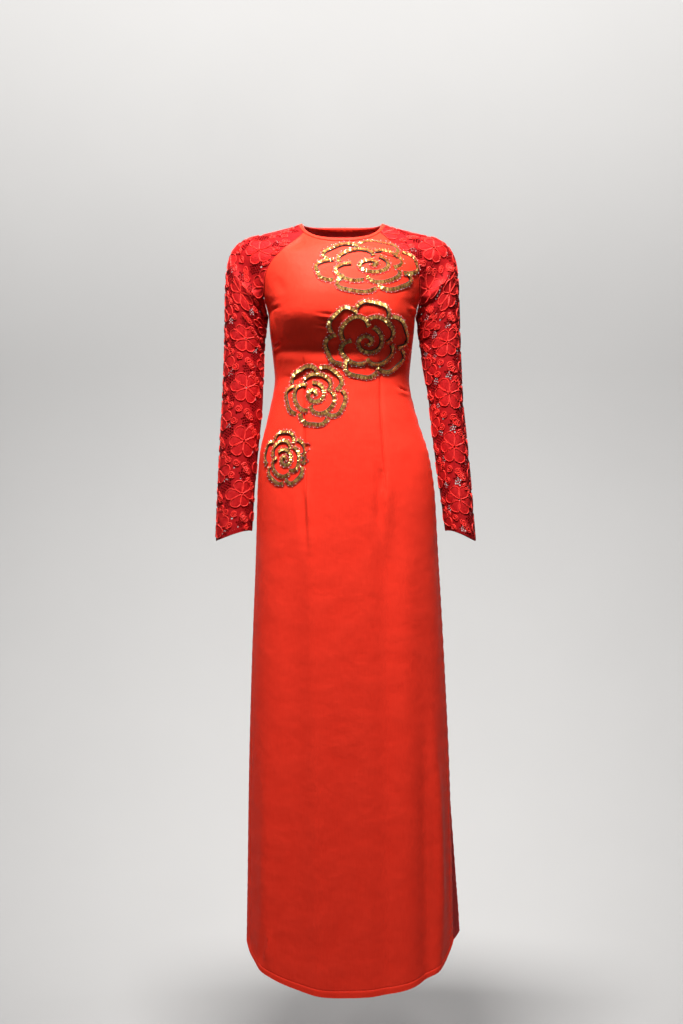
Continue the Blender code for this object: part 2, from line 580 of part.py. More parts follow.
def binding_solid(name, material):
    points, ways = neck_edge()
    tangent = unit(np.roll(points, -1, axis=0) - np.roll(points, 1, axis=0))
    out = unit(np.cross(tangent, ways))
    out *= np.where((out * (points - points.mean(0))).sum() < 0, -1, 1)
    section = BINDING_SECTION
    rings = (points[:, None]
             + ways[:, None] * section["up"][None, :, None]
             + out[:, None] * section["out"][None, :, None])
    rows, columns = rings.shape[:2]
    faces = []
    for i in range(rows):
        for j in range(columns):
            a, b = i * columns + j, i * columns + (j + 1) % columns
            c, d = (i + 1) % rows * columns + j, (i + 1) % rows * columns + (j + 1) % columns
            faces += [(a, d, b), (a, c, d)]
    return new_object(name, rings.reshape(-1, 3), faces, material)


# ---------------------------------------------------------------- beaded roses

# Each rose is drawn as it is seen from in front, on an oval, with its heart moved off its middle by
# shift_x and shift_z. turn is the middle of its first petal, in degrees.
ROSES = Table(
    "number centre_x centre_z half_width half_height turn shift_x shift_z outer_petals line_width",
    (1, 0.0430, -0.0940, 0.0960, 0.0505, 12, 0.010, 0.004, 6, 0.0080),
    (2, 0.0430, -0.2215, 0.0780, 0.0690, 18, 0.002, -0.004, 6, 0.0080),
    (3, -0.0455, -0.3170, 0.0565, 0.0570, 48, -0.004, 0.002, 5, 0.0080),
    (4, -0.0995, -0.4280, 0.0390, 0.0505, 90, 0.000, -0.002, 5, 0.0070),
)
# A ring's petals overlap like tiles: each line leaves the ring inside it at foot_a, swells out to
# its crown and comes down on the next petal at foot_b. spread is how much of its place a petal
# spans, inside how many petals fewer a ring has than the outer one, and steps the line's stretches.
PETAL_RINGS = Table(
    "ring fewer first spread foot_a foot_b crown squareness ripple steps",
    (0, 0, 0, 1.08, 0.56, 0.72, 0.96, 0.52, 0.035, 6),
    (1, 2, 25, 1.06, 0.32, 0.46, 0.66, 0.50, 0.015, 5),
)
SWIRL_STEPS, SWIRL_TURNS, SWIRL_INNER, SWIRL_OUTER = 9, 1.15, 0.10, 0.37
PARTED = 0.0006  # between two lines of beads that would touch at one point, each side of it
FILLED_PETALS = (0, 1)  # of the first rose: satin petals that reach over the seam onto the lace
APPLIQUE_CLEARANCE, APPLIQUE_WALL = 0.0004, 0.0020  # under a rose, and from there to its top
GRID_ROWS, GRID_COLUMNS = 25, 15  # of the smooth sleeve under the roses
SIDE_STEPS = (0, 0.0012, -0.0012)  # where the cloth is looked for at a seam's gap
NORMAL_REACH = 0.006  # how far round a point the cloth's facing is averaged
EDGE_ON = 0.05  # cloth that faces the front less than this is passed by
LIKE_FACING = 0.8  # facings closer than this, as a cosine, are averaged
SPREAD_OVER_FACE = ((0.5, 0.5, 0), (0, 0.5, 0.5), (0.5, 0, 0.5), (0.34, 0.33, 0.33),
                    (0.8, 0.1, 0.1), (0.1, 0.8, 0.1), (0.1, 0.1, 0.8),
                    (0.75, 0.25, 0), (0.25, 0.75, 0), (0, 0.75, 0.25), (0, 0.25, 0.75),
                    (0.75, 0, 0.25), (0.25, 0, 0.75))


def petal_lines(rose):
    """The petals and the swirled heart of a rose, as lines of (x, z) points."""
    _, centre_x, centre_z, half_width, half_height, turn, shift_x, shift_z, outer_petals, _ = rose

    def place(radius, degrees):
        angle = np.radians(degrees)
        return np.stack([centre_x + shift_x * (1 - radius) + half_width * radius * np.cos(angle),
                         centre_z + shift_z * (1 - radius) + half_height * radius * np.sin(angle)], axis=1)

    lines = []
    for _, fewer, first, spread, foot_a, foot_b, crown, squareness, ripple, steps in PETAL_RINGS.rows:
        petals = int(outer_petals - fewer)
        t = np.linspace(0, 1, int(steps) + 1)
        arch = np.sin(np.pi * t) ** squareness
        foot = foot_a + (foot_b - foot_a) * t
        radius = foot + (crown - foot) * arch + ripple * np.sin(3 * np.pi * t) * np.sin(np.pi * t)
        for petal in range(petals):
            middle = turn + first + petal * 360 / petals
            lines.append(place(radius, middle + (t - 0.5) * spread * 360 / petals))
    t = np.linspace(0, 1, SWIRL_STEPS + 1)
    lines.append(place(SWIRL_INNER + (SWIRL_OUTER - SWIRL_INNER) * t, turn + t * 360 * SWIRL_TURNS))
    return lines


class Base:
    """The cloth that the roses are sewn on, met from in front. Across the gaps in the lace it follows
    the sleeve's smooth surface."""

    def __init__(self, solids, sleeve):
        points, faces = [], []
        for solid in solids:
            faces += [[i + len(points) for i in face.vertices] for face in solid.data.polygons]
            points += [v.co.copy() for v in solid.data.vertices]
        shares, levels = np.linspace(0, 1, GRID_COLUMNS), np.linspace(NECK, UNDERARM + 1, GRID_ROWS)
        grid = sleeve.point(shares[None], levels[:, None]).reshape(-1, 3)
        faces += [list(face + len(points)) for face in grid_triangles(GRID_ROWS, GRID_COLUMNS, False)]
        self.tree = BVHTree.FromPolygons(points + [tuple(point) for point in grid], faces)

    def cast(self, x, z):
        place, facing, _, _ = self.tree.ray_cast((x, -1.0, z), (0, 1, 0))
        if place is None or abs(facing.y) < EDGE_ON:
            return None, None
        return np.array(place), np.array(facing) * (1 if facing.y < 0 else -1)

    def meet(self, x, z):
        """The point of the cloth at (x, z), and which way the cloth faces round about it."""
        for aside in SIDE_STEPS:
            place, facing = self.cast(x + aside, z)
            if place is not None:
                break
        else:
            raise ValueError(f"there is no cloth at x {x:.4f}, z {z:.4f}")
        place[0] = x
        around = [facing]
        for way_x, way_z in ((1, 0), (-1, 0), (0, 1), (0, -1)):
            _, near = self.cast(x + way_x * NORMAL_REACH, z + way_z * NORMAL_REACH)
            if near is not None and near @ facing > LIKE_FACING:
                around.append(near)
        return place, unit(sum(around))


def ribbon(line, base, half_width):
    """A line of beads on the cloth, as (x, z) corners of the stretches between its points."""
    met = [base.meet(*point) for point in line]
    places, facings = (np.array(part) for part in zip(*met))
    along = np.gradient(places, axis=0)
    across = unit(np.cross(facings, along)) * half_width
    left, right = (places + across)[:, ::2], (places - across)[:, ::2]
    return [np.array([left[i], left[i + 1], right[i + 1], right[i]]) for i in range(len(line) - 1)]


def part_corners(points, faces):
    """Where faces meet at a corner but at no edge, gives each group of them a corner of its own, drawn
    back towards them by PARTED."""
    for corner in range(len(points)):
        groups = []
        for face in (face for face in faces if corner in face):
            rest = set(face) - {corner}
            joined = [group for group in groups if group[0] & rest]
            groups = [group for group in groups if not group[0] & rest]
            groups.append((rest.union(*(group[0] for group in joined)),
                           sum((group[1] for group in joined), [face])))
        if len(groups) < 2:
            continue
        for rest, group in groups:
            way = unit(np.mean([points[i] for i in rest], axis=0) - points[corner])
            points.append(points[corner] + way * PARTED)
            for face in group:
                face[face.index(corner)] = len(points) - 1


def applique(name, rose, base, material, filled=()):
    """A rose of joined lines of beads; the petals in filled are cloth all over."""
    lines = petal_lines(rose)
    shapes = [corner for line in lines for corner in ribbon(line, base, rose[-1] / 2)]
    shapes += [lines[i] for i in filled]
    coords, faces = [], []
    for shape in shapes:
        x, z = shape.T
        area = (x * np.roll(z, -1) - z * np.roll(x, -1)).sum()
        ordered = shape if area > 0 else shape[::-1]
        faces.append(list(range(len(coords), len(coords) + len(shape))))
        coords += [tuple(point) for point in ordered]
    flat, _, made, _, _, inside = delaunay_2d_cdt(coords, [], faces, 1, 0.0004)
    flat = [np.array(point) for point in flat]
    kept = [list(face) for face, shapes_over in zip(made, inside) if shapes_over]
    part_corners(flat, kept)
    used = sorted({i for face in kept for i in face})
    number = {old: new for new, old in enumerate(used)}
    met = [base.meet(*flat[i]) for i in used]
    places, facings = (np.array(part) for part in zip(*met))
    triangles = np.array([[number[i] for i in face] for face in kept])
    lift = clear_lift(places, facings, triangles, base)[:, None]
    inner = places + facings * lift
    return wall(name, inner + facings * APPLIQUE_WALL, inner, triangles, material)


def clear_lift(places, facings, triangles, base):
    """How far each corner is lifted off the cloth, so that no face between them dips into it."""
    lift = np.full(len(places), APPLIQUE_CLEARANCE)
    shares = np.array(SPREAD_OVER_FACE)
    for _ in range(3):
        corners = (places + facings * lift[:, None])[triangles]
        for triangle, points in zip(triangles, np.einsum("sk,tkj->tsj", shares, corners)):
            met = [base.meet(point[0], point[2]) for point in points]
            above = min((point - place) @ facing for point, (place, facing) in zip(points, met))
            lift[triangle] += max(0, APPLIQUE_CLEARANCE - above)
    return lift


# ---------------------------------------------------------------- materials

def cloth_material(name, colour, roughness, metallic=0.0):
    made = bpy.data.materials.new(name)
    made.use_nodes = True
    shader = made.node_tree.nodes["Principled BSDF"]
    shader.inputs["Base Color"].default_value = (*colour, 1)
    shader.inputs["Roughness"].default_value = roughness
    shader.inputs["Metallic"].default_value = metallic
    made.diffuse_color = (*colour, 1)
    return made


SATIN = cloth_material("red_satin", (0.78, 0.035, 0.02), 0.38)
LACE = cloth_material("red_lace", (0.55, 0.012, 0.018), 0.8)
BINDING = cloth_material("red_binding", (0.72, 0.03, 0.02), 0.45)
BEADS = cloth_material("gold_beads", (0.75, 0.48, 0.16), 0.25, 0.9)

INSIDE = (0, 0.34, 0.67, 0.90)
OUTSIDE = (0, 0.10, 0.30, 0.51, 0.71, 0.88, 1)
BACK_OUTSIDE = (0, 0.12, 0.38, 0.64, 0.86, 1)
front_levels = levels_down(FRONT, ((-0.32, 0.0155), (-0.50, 0.0225), (-1.3640, 0.046)))
back_levels = levels_down(BACK, ((-0.32, 0.0200), (-0.50, 0.0300), (-1.3700, 0.056)))
front = panel_solid("front_panel", FRONT, front_levels, INSIDE, OUTSIDE, SATIN)
panel_solid("back_panel", BACK, back_levels, INSIDE, BACK_OUTSIDE, SATIN)
sleeves = {name: sleeve_solid(name, half, LACE) for name, half in SLEEVES.items()}
binding_solid("neck_binding", BINDING)
chest = Base((front, sleeves["sleeve_left_front"]), SLEEVES["sleeve_left_front"])
for rose in ROSES.rows:
    applique(f"rose_{rose[0]:.0f}", rose, chest, BEADS, FILLED_PETALS if rose[0] == 1 else ())
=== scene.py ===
import itertools
import math

import bpy
import numpy as np
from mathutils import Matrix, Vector
from mathutils.bvhtree import BVHTree
from mathutils.geometry import delaunay_2d_cdt


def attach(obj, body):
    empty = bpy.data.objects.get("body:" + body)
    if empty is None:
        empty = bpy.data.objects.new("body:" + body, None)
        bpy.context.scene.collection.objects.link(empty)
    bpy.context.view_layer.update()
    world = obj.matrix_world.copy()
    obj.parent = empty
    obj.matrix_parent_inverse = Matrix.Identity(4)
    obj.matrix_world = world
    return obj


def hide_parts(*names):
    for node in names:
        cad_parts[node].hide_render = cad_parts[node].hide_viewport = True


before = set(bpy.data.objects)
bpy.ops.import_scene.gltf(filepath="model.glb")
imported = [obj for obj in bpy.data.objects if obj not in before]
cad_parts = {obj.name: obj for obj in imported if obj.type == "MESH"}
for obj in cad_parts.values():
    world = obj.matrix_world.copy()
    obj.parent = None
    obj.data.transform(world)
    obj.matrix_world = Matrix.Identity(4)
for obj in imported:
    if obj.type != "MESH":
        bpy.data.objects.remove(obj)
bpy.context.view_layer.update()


# ================================================================ the studio
# A pale seamless sweep under soft boxes: one high in front, a weak one on each side and a wide one over
# the sweep itself. The camera stands level with the wearer's hips. Seen from behind, the sweep is clear.

CAMERA_DISTANCE, CAMERA_HEIGHT, CAMERA_LENS = 3.2, -0.522, 62.5
FLOOR_HEIGHT, SWEEP_START, SWEEP_RADIUS = -1.66, 0.9, 1.6
PAPER_HALF_WIDTH, PAPER_FRONT, PAPER_TOP = 2.1, -2.2, 5.0

scene = bpy.context.scene
scene.view_settings.view_transform = "Standard"


def place_object(name, data, place=(0, 0, 0)):
    made = bpy.data.objects.new(name, data)
    scene.collection.objects.link(made)
    made.location = place
    return made


def soft_box(name, place, aim, power, width, height, spread=180):
    lamp = bpy.data.lights.new(name, "AREA")
    lamp.shape, lamp.size, lamp.size_y, lamp.spread = "RECTANGLE", width, height, math.radians(spread)
    lamp.energy, lamp.color = power, (1, 0.98, 0.95)
    made = place_object(name, lamp, place)
    made.rotation_euler = (Vector(aim) - Vector(place)).to_track_quat("-Z", "Y").to_euler()


def plug(node, name, value):
    """Gives a node's input, by its name or number, a value or the output of another node: a socket, or a
    node itself for its first one."""
    value = value.outputs[0] if isinstance(value, bpy.types.Node) else value
    if isinstance(value, bpy.types.NodeSocket):
        node.id_data.links.new(value, node.inputs[name])
    else:
        node.inputs[name].default_value = value


def add_node(tree, kind, inputs=None, **settings):
    """A new node with its settings and inputs."""
    made = tree.nodes.new(kind)
    for name, value in settings.items():
        setattr(made, name, value)
    for name, value in (inputs or {}).items():
        plug(made, name, value)
    return made


def noise(tree, where, scale, detail):
    return add_node(tree, "ShaderNodeTexNoise", {"Vector": where, "Scale": scale, "Detail": detail})


def mixed_colour(tree, share, dark, light):
    """The socket of a colour that runs from dark to light."""
    return add_node(tree, "ShaderNodeMix", {
        "Factor": share, 6: (*dark, 1), 7: (*light, 1)}, data_type="RGBA").outputs[2]


def new_material(name, **shader_values):
    """A material with a Principled shader, and that shader."""
    made = bpy.data.materials.new(name)
    made.use_nodes = True
    shader = made.node_tree.nodes["Principled BSDF"]
    for socket, value in shader_values.items():
        plug(shader, socket.replace("_", " ").title().replace("Ior", "IOR"), value)
    return made, shader


def new_mesh(name, points, faces, materials, uv=None, slots=None, sharp=50):
    mesh = bpy.data.meshes.new(name)
    mesh.from_pydata(np.asarray(points).tolist(), [], [list(map(int, face)) for face in faces])
    for material in materials:
        mesh.materials.append(material)
    if slots is not None:
        mesh.polygons.foreach_set("material_index", np.asarray(slots, np.int32))
    if uv is not None:
        corners = np.empty(len(mesh.loops), np.int32)
        mesh.loops.foreach_get("vertex_index", corners)
        layer = mesh.uv_layers.new(name="cloth")
        layer.data.foreach_set("uv", np.asarray(uv, np.float32)[corners].ravel())
    mesh.shade_smooth()
    mesh.set_sharp_from_angle(angle=math.radians(sharp))
    return place_object(name, mesh)


camera_data = bpy.data.cameras.new("camera")
camera_data.lens = CAMERA_LENS
camera_data.shift_x = -0.5 / 1024
camera = place_object("camera", camera_data, (0, -CAMERA_DISTANCE, CAMERA_HEIGHT))
camera.rotation_euler = (math.pi / 2, 0, 0)
scene.camera = camera

turn = np.linspace(0, math.pi / 2, 17)
sweep_y = np.concatenate([
    [PAPER_FRONT], SWEEP_START + SWEEP_RADIUS * np.sin(turn), [SWEEP_START + SWEEP_RADIUS]])
sweep_z = np.concatenate([[0], SWEEP_RADIUS * (1 - np.cos(turn)), [PAPER_TOP]]) + FLOOR_HEIGHT
sweep_points = [(x, y, z) for x in (-PAPER_HALF_WIDTH, PAPER_HALF_WIDTH) for y, z in zip(sweep_y, sweep_z)]
sweep_faces = [(i, i + len(turn) + 2, i + len(turn) + 3, i + 1) for i in range(len(turn) + 1)]
paper, paper_shader = new_material("pale_paper", roughness=0.9)
paper_tree = paper.node_tree
paper_where = paper_tree.nodes.new("ShaderNodeTexCoord").outputs["Object"]
paper_tone = mixed_colour(
    paper_tree, noise(paper_tree, paper_where, 3.0, 2.0), (0.44, 0.44, 0.443), (0.46, 0.46, 0.463))
plug(paper_shader, "Base Color", paper_tone)
paper_side = paper_tree.nodes.new("ShaderNodeNewGeometry").outputs["Backfacing"]
clear = paper_tree.nodes.new("ShaderNodeBsdfTransparent")
seen = add_node(paper_tree, "ShaderNodeMixShader", {0: paper_side, 1: paper_shader, 2: clear})
plug(paper_tree.nodes["Material Output"], "Surface", seen)
sweep = new_mesh("sweep", sweep_points, sweep_faces, [paper])

soft_box("key_box", (-0.10, -0.95, 1.42), (0, 0, -0.08), 25, 0.45, 0.30, spread=76)
soft_box("left_box", (-2.4, -1.6, 0.8), (0, 0, -0.3), 5, 1.0, 1.6)
soft_box("right_box", (2.4, -1.6, 0.8), (0, 0, -0.3), 4, 1.0, 1.6)
soft_box("sweep_box", (0, 0.2, 2.6), (0, 2.6, 0.6), 108, 5.0, 0.8, spread=110)
world = bpy.data.worlds.new("studio")
scene.world = world
world.use_nodes = True
room = world.node_tree
fill = add_node(room, "ShaderNodeBackground", {"Color": (0.95, 0.97, 1, 1), "Strength": 0.11})
backdrop = add_node(room, "ShaderNodeBackground", {"Color": (0.70, 0.70, 0.70, 1), "Strength": 1.0})
to_camera = room.nodes.new("ShaderNodeLightPath").outputs["Is Camera Ray"]
shown = add_node(room, "ShaderNodeMixShader", {0: to_camera, 1: fill, 2: backdrop})
plug(room.nodes["World Output"], "Surface", shown)


# ================================================================ satin panels
# The front and the back are each cut in one piece of red satin, from the neck to the rounded hem,
# taken in by two long darts. The slit edges and the hem are turned in once and blind-stitched.

SATIN_THICK = 0.0006  # a single layer; the turned edges are twice that
HEM_TURN = 0.0118  # how far in the slit edges and hem are stitched
SEAM_GAP = 0.0004


def in_metres(names, *rows):
    """Rows that are written in millimetres, in metres. A column with a star holds plain numbers."""
    rows = np.array(rows, float)
    lengths = [not name.endswith("*") for name in names.split()]
    rows[:, lengths] = np.round(rows[:, lengths] / 1000, 7)
    return rows


class Table:
    """Rows with named columns. A value between two rows lies on a smooth curve with no overshoot."""

    def __init__(self, names, *rows):
        self.names, self.rows = names.replace("*", "").split(), in_metres(names, *rows)

    def at(self, name, key):
        """A column's value where the first column has the value key."""
        x, y = self.rows[:, 0], self.rows[:, self.names.index(name)]
        key = np.clip(np.asarray(key, float), x[0], x[-1])
        step, rise = np.diff(x), np.diff(y)
        slope = rise / step
        middle = np.zeros(len(x))
        same_way = slope[:-1] * slope[1:] > 0
        weight_a, weight_b = 2 * step[1:] + step[:-1], step[1:] + 2 * step[:-1]
        with np.errstate(divide="ignore", invalid="ignore"):
            mean = (weight_a + weight_b) / (weight_a / slope[:-1] + weight_b / slope[1:])
        middle[1:-1] = np.where(same_way, mean, 0.0)
        middle[0], middle[-1] = slope[0], slope[-1]
        i = np.clip(np.searchsorted(x, key, side="right") - 1, 0, len(step) - 1)
        t = (key - x[i]) / step[i]
        return (
            y[i] * (1 + 2 * t) * (1 - t) ** 2
            + y[i + 1] * t * t * (3 - 2 * t)
            + step[i] * (middle[i] * t * (1 - t) ** 2 - middle[i + 1] * t * t * (1 - t))
        )


def unit(vectors):
    return vectors / np.maximum(np.linalg.norm(vectors, axis=-1, keepdims=True), 1e-12)


def stack(*parts):
    return np.stack(np.broadcast_arrays(*parts), axis=-1)


def circle(angle):
    return stack(np.cos(angle), np.sin(angle))


def run_along(line):
    """How far along a line each of its points lies. A line may be many side by side."""
    steps = np.linalg.norm(np.diff(line, axis=0), axis=-1)
    return np.concatenate([np.zeros((1, *steps.shape[1:])), np.cumsum(steps, axis=0)])


def values_at(at, run, values):
    """Columns of values along a line, at other places on it."""
    return np.stack([np.interp(at, run, column) for column in values.T], axis=1)


def grid_quads(rows, columns):
    corner = np.arange(rows * columns).reshape(rows, columns)
    quads = np.stack([corner[:-1, :-1], corner[1:, :-1], corner[1:, 1:], corner[:-1, 1:]], axis=-1)
    return quads.reshape(-1, 4)


def along_bezier(corners, share):
    """Points at a share of the length of cubic curves. corners is four arrays of points."""
    steps = np.linspace(0, 1, 25)

    def cubic(t):
        weights = ((1 - t) ** 3, 3 * t * (1 - t) ** 2, 3 * t * t * (1 - t), t ** 3)
        return sum(w[..., None] * c for w, c in zip(weights, corners))

    spread = np.stack([cubic(np.full(share.shape, t)) for t in steps])
    run = run_along(spread)
    run /= run[-1]
    i = np.clip((run <= share).sum(axis=0) - 1, 0, len(steps) - 2)
    low, high = (np.take_along_axis(run, j[None], 0)[0] for j in (i, i + 1))
    return cubic(steps[i] + (share - low) / np.maximum(high - low, 1e-9) * (steps[1] - steps[0]))


def smooth(low, high, value):
    t = np.clip((value - low) / (high - low), 0, 1)
    return t * t * (3 - 2 * t)


# Each row is one line across half a panel, from its middle (mid_) to its edge (edge_). Depth is
# measured away from the side seams, to the front or to the back. turn is how far the cloth has
# turned round the body where it ends, in degrees: 0 is straight out sideways. The pulls are the
# lengths over which the row keeps its direction at either end. lean moves the row to the left.
# Level 0 is the neck, 6 the underarm, 9 the waist, 10 the top of the slit and 19 the hem.
ROW_NAMES = "level* mid_z depth edge_x edge_depth edge_z turn* mid_pull edge_pull lean"
FRONT_ROWS = Table(
    ROW_NAMES,
    (0, -45.4, 78.7, 66.8, 45.2, -25, 54, 36, 24, 0),
    (1, -58, 85, 80, 60, -39, 36, 40, 26, 0),
    (2, -78, 93, 105, 69, -60, 32, 50, 30, 0),
    (3, -98, 100, 125, 66, -82, 36, 60, 34, 0),
    (4, -120, 105, 135, 58, -107, 46, 70, 38, 0),
    (5, -145, 108.5, 137, 40, -139, 64, 84, 44, 0),
    (6, -172, 109, 131, 0, -172, 90, 96, 70, 0),
    (7, -200, 104.5, 129, -1, -200, 90, 92, 66, 0),
    (8, -234, 95, 125.5, -1, -234, 90, 82, 58, 0),
    (9, -284, 85, 121, -1, -284, 90, 72, 50, 0),
    (10, -313, 88, 124.5, 0, -313, 90, 72, 52, 0),
    (11, -360, 96, 135.5, 2, -360, 89, 80, 56, 1),
    (12, -420, 102, 151.5, 6, -420, 88, 92, 60, 4),
    (13, -480, 105, 158, 10, -480, 86, 98, 60, 7),
    (14, -600, 107, 163, 16, -600, 82, 102, 58, 9),
    (15, -800, 110, 172, 26, -800, 76, 108, 56, 11),
    (16, -1000, 114, 178.5, 36, -1000, 70, 112, 54, 13),
    (17, -1200, 119, 181.5, 45, -1184, 66, 114, 52, 14),
    (18, -1310, 122.5, 182.5, 50, -1262, 64, 114, 50, 14),
    (19, -1364, 125, 183, 52, -1296, 62, 114, 50, 14),
)
BACK_ROWS = Table(
    ROW_NAMES,
    (0, -6.4, 62.2, 55.2, 43.7, -7.4, 46, 30, 18, 0),
    (1, -22, 70, 70, 54.5, -23, 32, 36, 22, 0),
    (2, -50, 82, 95, 64, -49, 28, 48, 28, 0),
    (3, -80, 91, 117, 66, -78, 30, 58, 32, 0),
    (4, -112, 96, 132.5, 60, -108, 44, 68, 36, 0),
    (5, -143, 97.5, 138, 42, -141, 64, 80, 42, 0),
    (6, -172, 96.5, 131, 0, -172, 90, 92, 62, 0),
    (7, -200, 93, 129, 1, -200, 90, 88, 60, 0),
    (8, -234, 86, 125.5, 1, -234, 90, 82, 54, 0),
    (9, -284, 76, 121, 1, -284, 90, 74, 48, 0),
    (10, -313, 79, 124, 2, -313, 90, 74, 48, 0),
    (11, -360, 92, 133, 6, -360, 89, 82, 52, 0),
    (12, -420, 105, 142, 14, -420, 87, 90, 56, 1),
    (13, -480, 111, 146, 24, -480, 84, 94, 56, 3),
    (14, -600, 112, 154, 34, -600, 78, 98, 52, 7),
    (15, -800, 110, 166, 42, -800, 72, 106, 50, 12),
    (16, -1000, 109, 178, 48, -1000, 66, 112, 48, 16),
    (17, -1200, 109, 188, 52, -1188, 60, 116, 46, 20),
    (18, -1315, 110, 192, 55, -1270, 58, 118, 46, 22),
    (19, -1370, 111, 193, 56, -1304, 56, 118, 46, 22),
)
NECK, UNDERARM, HEM = 0, 6, 19
ROW_BOW = 2.2  # how a row climbs from its middle to its edge: a power of the share of its length
CORNER_RISE, CORNER_POWER = 0.016, 12  # the rounding of the hem's corners

# The bust: the cloth is taut over its two high points and nearly flat between them.
BUST_RISE, BUST_Z, BUST_ABOVE, BUST_BELOW = 0.016, -0.166, 0.070, 0.044
BUST_HALF_WIDTH, BUST_DIP, BUST_DIP_WIDTH = 0.108, 0.16, 0.030

# Soft vertical folds of the hanging part. across is the way along the cloth from the middle of the
# panel, towards the wearer's left, at FOLDS_TOP (top_across) and at the hem. A fold starts at top_z and
# is full from full_z down. rise is outward.
FOLDS_TOP, FOLDS_BOTTOM = -0.313, -1.360
FOLD_NAMES = "top_across hem_across width top_z full_z rise"
FRONT_FOLDS = in_metres(
    FOLD_NAMES,
    (-66, -50, 20, -470, -620, 4.5),
    (-98, -96, 26, -500, -800, -4),
    (68, 60, 20, -470, -620, -5),
    (104, 104, 24, -480, -700, 4.5),
    (150, 160, 14, -800, -1050, 6),
    (-138, -158, 16, -850, -1150, 4.5),
    (4, 10, 34, -700, -1100, -3.5),
    (132, 137, 12, -850, -1100, -3.5),
)
BACK_FOLDS = in_metres(
    FOLD_NAMES,
    (-110, -120, 22, -520, -800, 6.5),
    (-60, -66, 24, -520, -800, -6.5),
    (-10, -12, 24, -560, -850, 6),
    (46, 48, 24, -520, -800, -6.5),
    (104, 112, 22, -520, -800, 7),
    (140, 158, 14, -700, -950, -5),
)

# Darts: a seam that sinks into the cloth, on each side of a panel, from its top to its bottom.
FRONT_DART, BACK_DART = (-0.250, -0.492), (-0.190, -0.430)
DART_DEPTH, DART_WIDTH = 0.0022, 0.004
DART_ACROSS = 0.070  # the dart column's distance from the panel's middle, from the bust down
DART_SHARE_AT_NECK = 0.44
DART_MIX = (2.0, 6.0)  # the levels over which its place changes from that share to DART_ACROSS

FINE_LEVELS, FINE_SHARES = 400, 60  # steps used to measure a surface
ASIDE = 0.001  # step in share used to find which way a row runs


class Panel:
    """A satin panel. A point on it is given by its level and by its share of the way from the middle
    to an edge, from -1 at the wearer's right to 1 at the left."""

    def __init__(self, rows, folds, dart, facing):
        self.rows, self.folds, self.dart, self.facing = rows, folds, dart, facing
        self.dense = np.linspace(NECK, HEM, FINE_LEVELS)
        dense_rows = self.plan(np.linspace(0, 1, FINE_SHARES)[:, None], self.dense[None])
        self.lengths = np.linalg.norm(np.diff(dense_rows, axis=0), axis=-1).sum(0)

    def plan(self, share, level):
        """Where a row runs, seen from above, before folds: sideways and depth."""
        row = {name: self.rows.at(name, level) for name in self.rows.names[1:]}
        turn = np.radians(row["turn"])
        ends = (
            stack(0 * turn, row["depth"]),
            stack(row["mid_pull"], row["depth"]),
            stack(row["edge_x"] - row["edge_pull"] * np.cos(turn),
                  row["edge_depth"] + row["edge_pull"] * np.sin(turn)),
            stack(row["edge_x"], row["edge_depth"]),
        )
        share, _ = np.broadcast_arrays(share, level)
        return along_bezier([np.broadcast_to(e, share.shape + (2,)) for e in ends], share)

    def length(self, level):
        """The length of half a row, from the panel's middle to its edge."""
        return np.interp(level, self.dense, self.lengths)

    def height(self, share, level):
        mid, edge = self.rows.at("mid_z", level), self.rows.at("edge_z", level)
        corner = CORNER_RISE * smooth(HEM - 1, HEM, level) * np.abs(share) ** CORNER_POWER
        return mid + (edge - mid) * np.abs(share) ** ROW_BOW + corner

    def dart_share(self, level):
        """The share of a row at which its dart column lies."""
        below = DART_ACROSS / self.length(level)
        mix = smooth(*DART_MIX, np.asarray(level, float))
        return DART_SHARE_AT_NECK * (1 - mix) + below * mix

    def relief(self, across, z):
        """How far the cloth stands out from its row, in metres."""
        hang = np.clip((FOLDS_TOP - z) / (FOLDS_TOP - FOLDS_BOTTOM), 0, 1)
        out = 0 * z
        for top, hem, width, top_z, full_z, rise in self.folds:
            centre = top + (hem - top) * hang
            out = out + rise * smooth(-top_z, -full_z, -z) * np.exp(-((across - centre) / width) ** 2)
        top_z, bottom_z = self.dart
        run = (top_z - z) / (top_z - bottom_z)
        strength = np.where((run > 0) & (run < 1), np.sin(np.pi * np.clip(run, 0, 1)) ** 0.5, 0)
        for side in (-1, 1):
            gap = across - side * DART_ACROSS
            out = out - DART_DEPTH * strength * np.exp(-((gap / DART_WIDTH) ** 2))
        if self.facing < 0:
            out = out + self.bust(across, z)
        return out

    def bust(self, across, z):
        reach = np.where(z > BUST_Z, BUST_ABOVE, BUST_BELOW)
        flat = 1 / (1 + (np.abs(across) / BUST_HALF_WIDTH) ** 6)
        dip = 1 - BUST_DIP * np.exp(-((across / BUST_DIP_WIDTH) ** 2))
        return BUST_RISE * flat * dip * np.exp(-(((z - BUST_Z) / reach) ** 2))

    def point(self, share, level):
        """A point on the outer face of the panel."""
        share, level = np.broadcast_arrays(np.asarray(share, float), np.asarray(level, float))
        side = np.where(share < 0, -1.0, 1.0)
        reach = np.clip(np.abs(share), 0, 1)
        at = self.plan(reach, level)
        near_edge = np.minimum(reach + ASIDE, 1)
        ahead = unit(self.plan(near_edge, level) - self.plan(near_edge - 2 * ASIDE, level))
        z = self.height(share, level)
        rise = self.relief(share * self.length(level), z)
        x = side * (at[..., 0] - ahead[..., 1] * rise) + self.rows.at("lean", level)
        y = self.facing * (at[..., 1] + ahead[..., 0] * rise)
        return stack(x, y, z)


FRONT = Panel(FRONT_ROWS, FRONT_FOLDS, FRONT_DART, facing=-1)
BACK = Panel(BACK_ROWS, BACK_FOLDS, BACK_DART, facing=1)


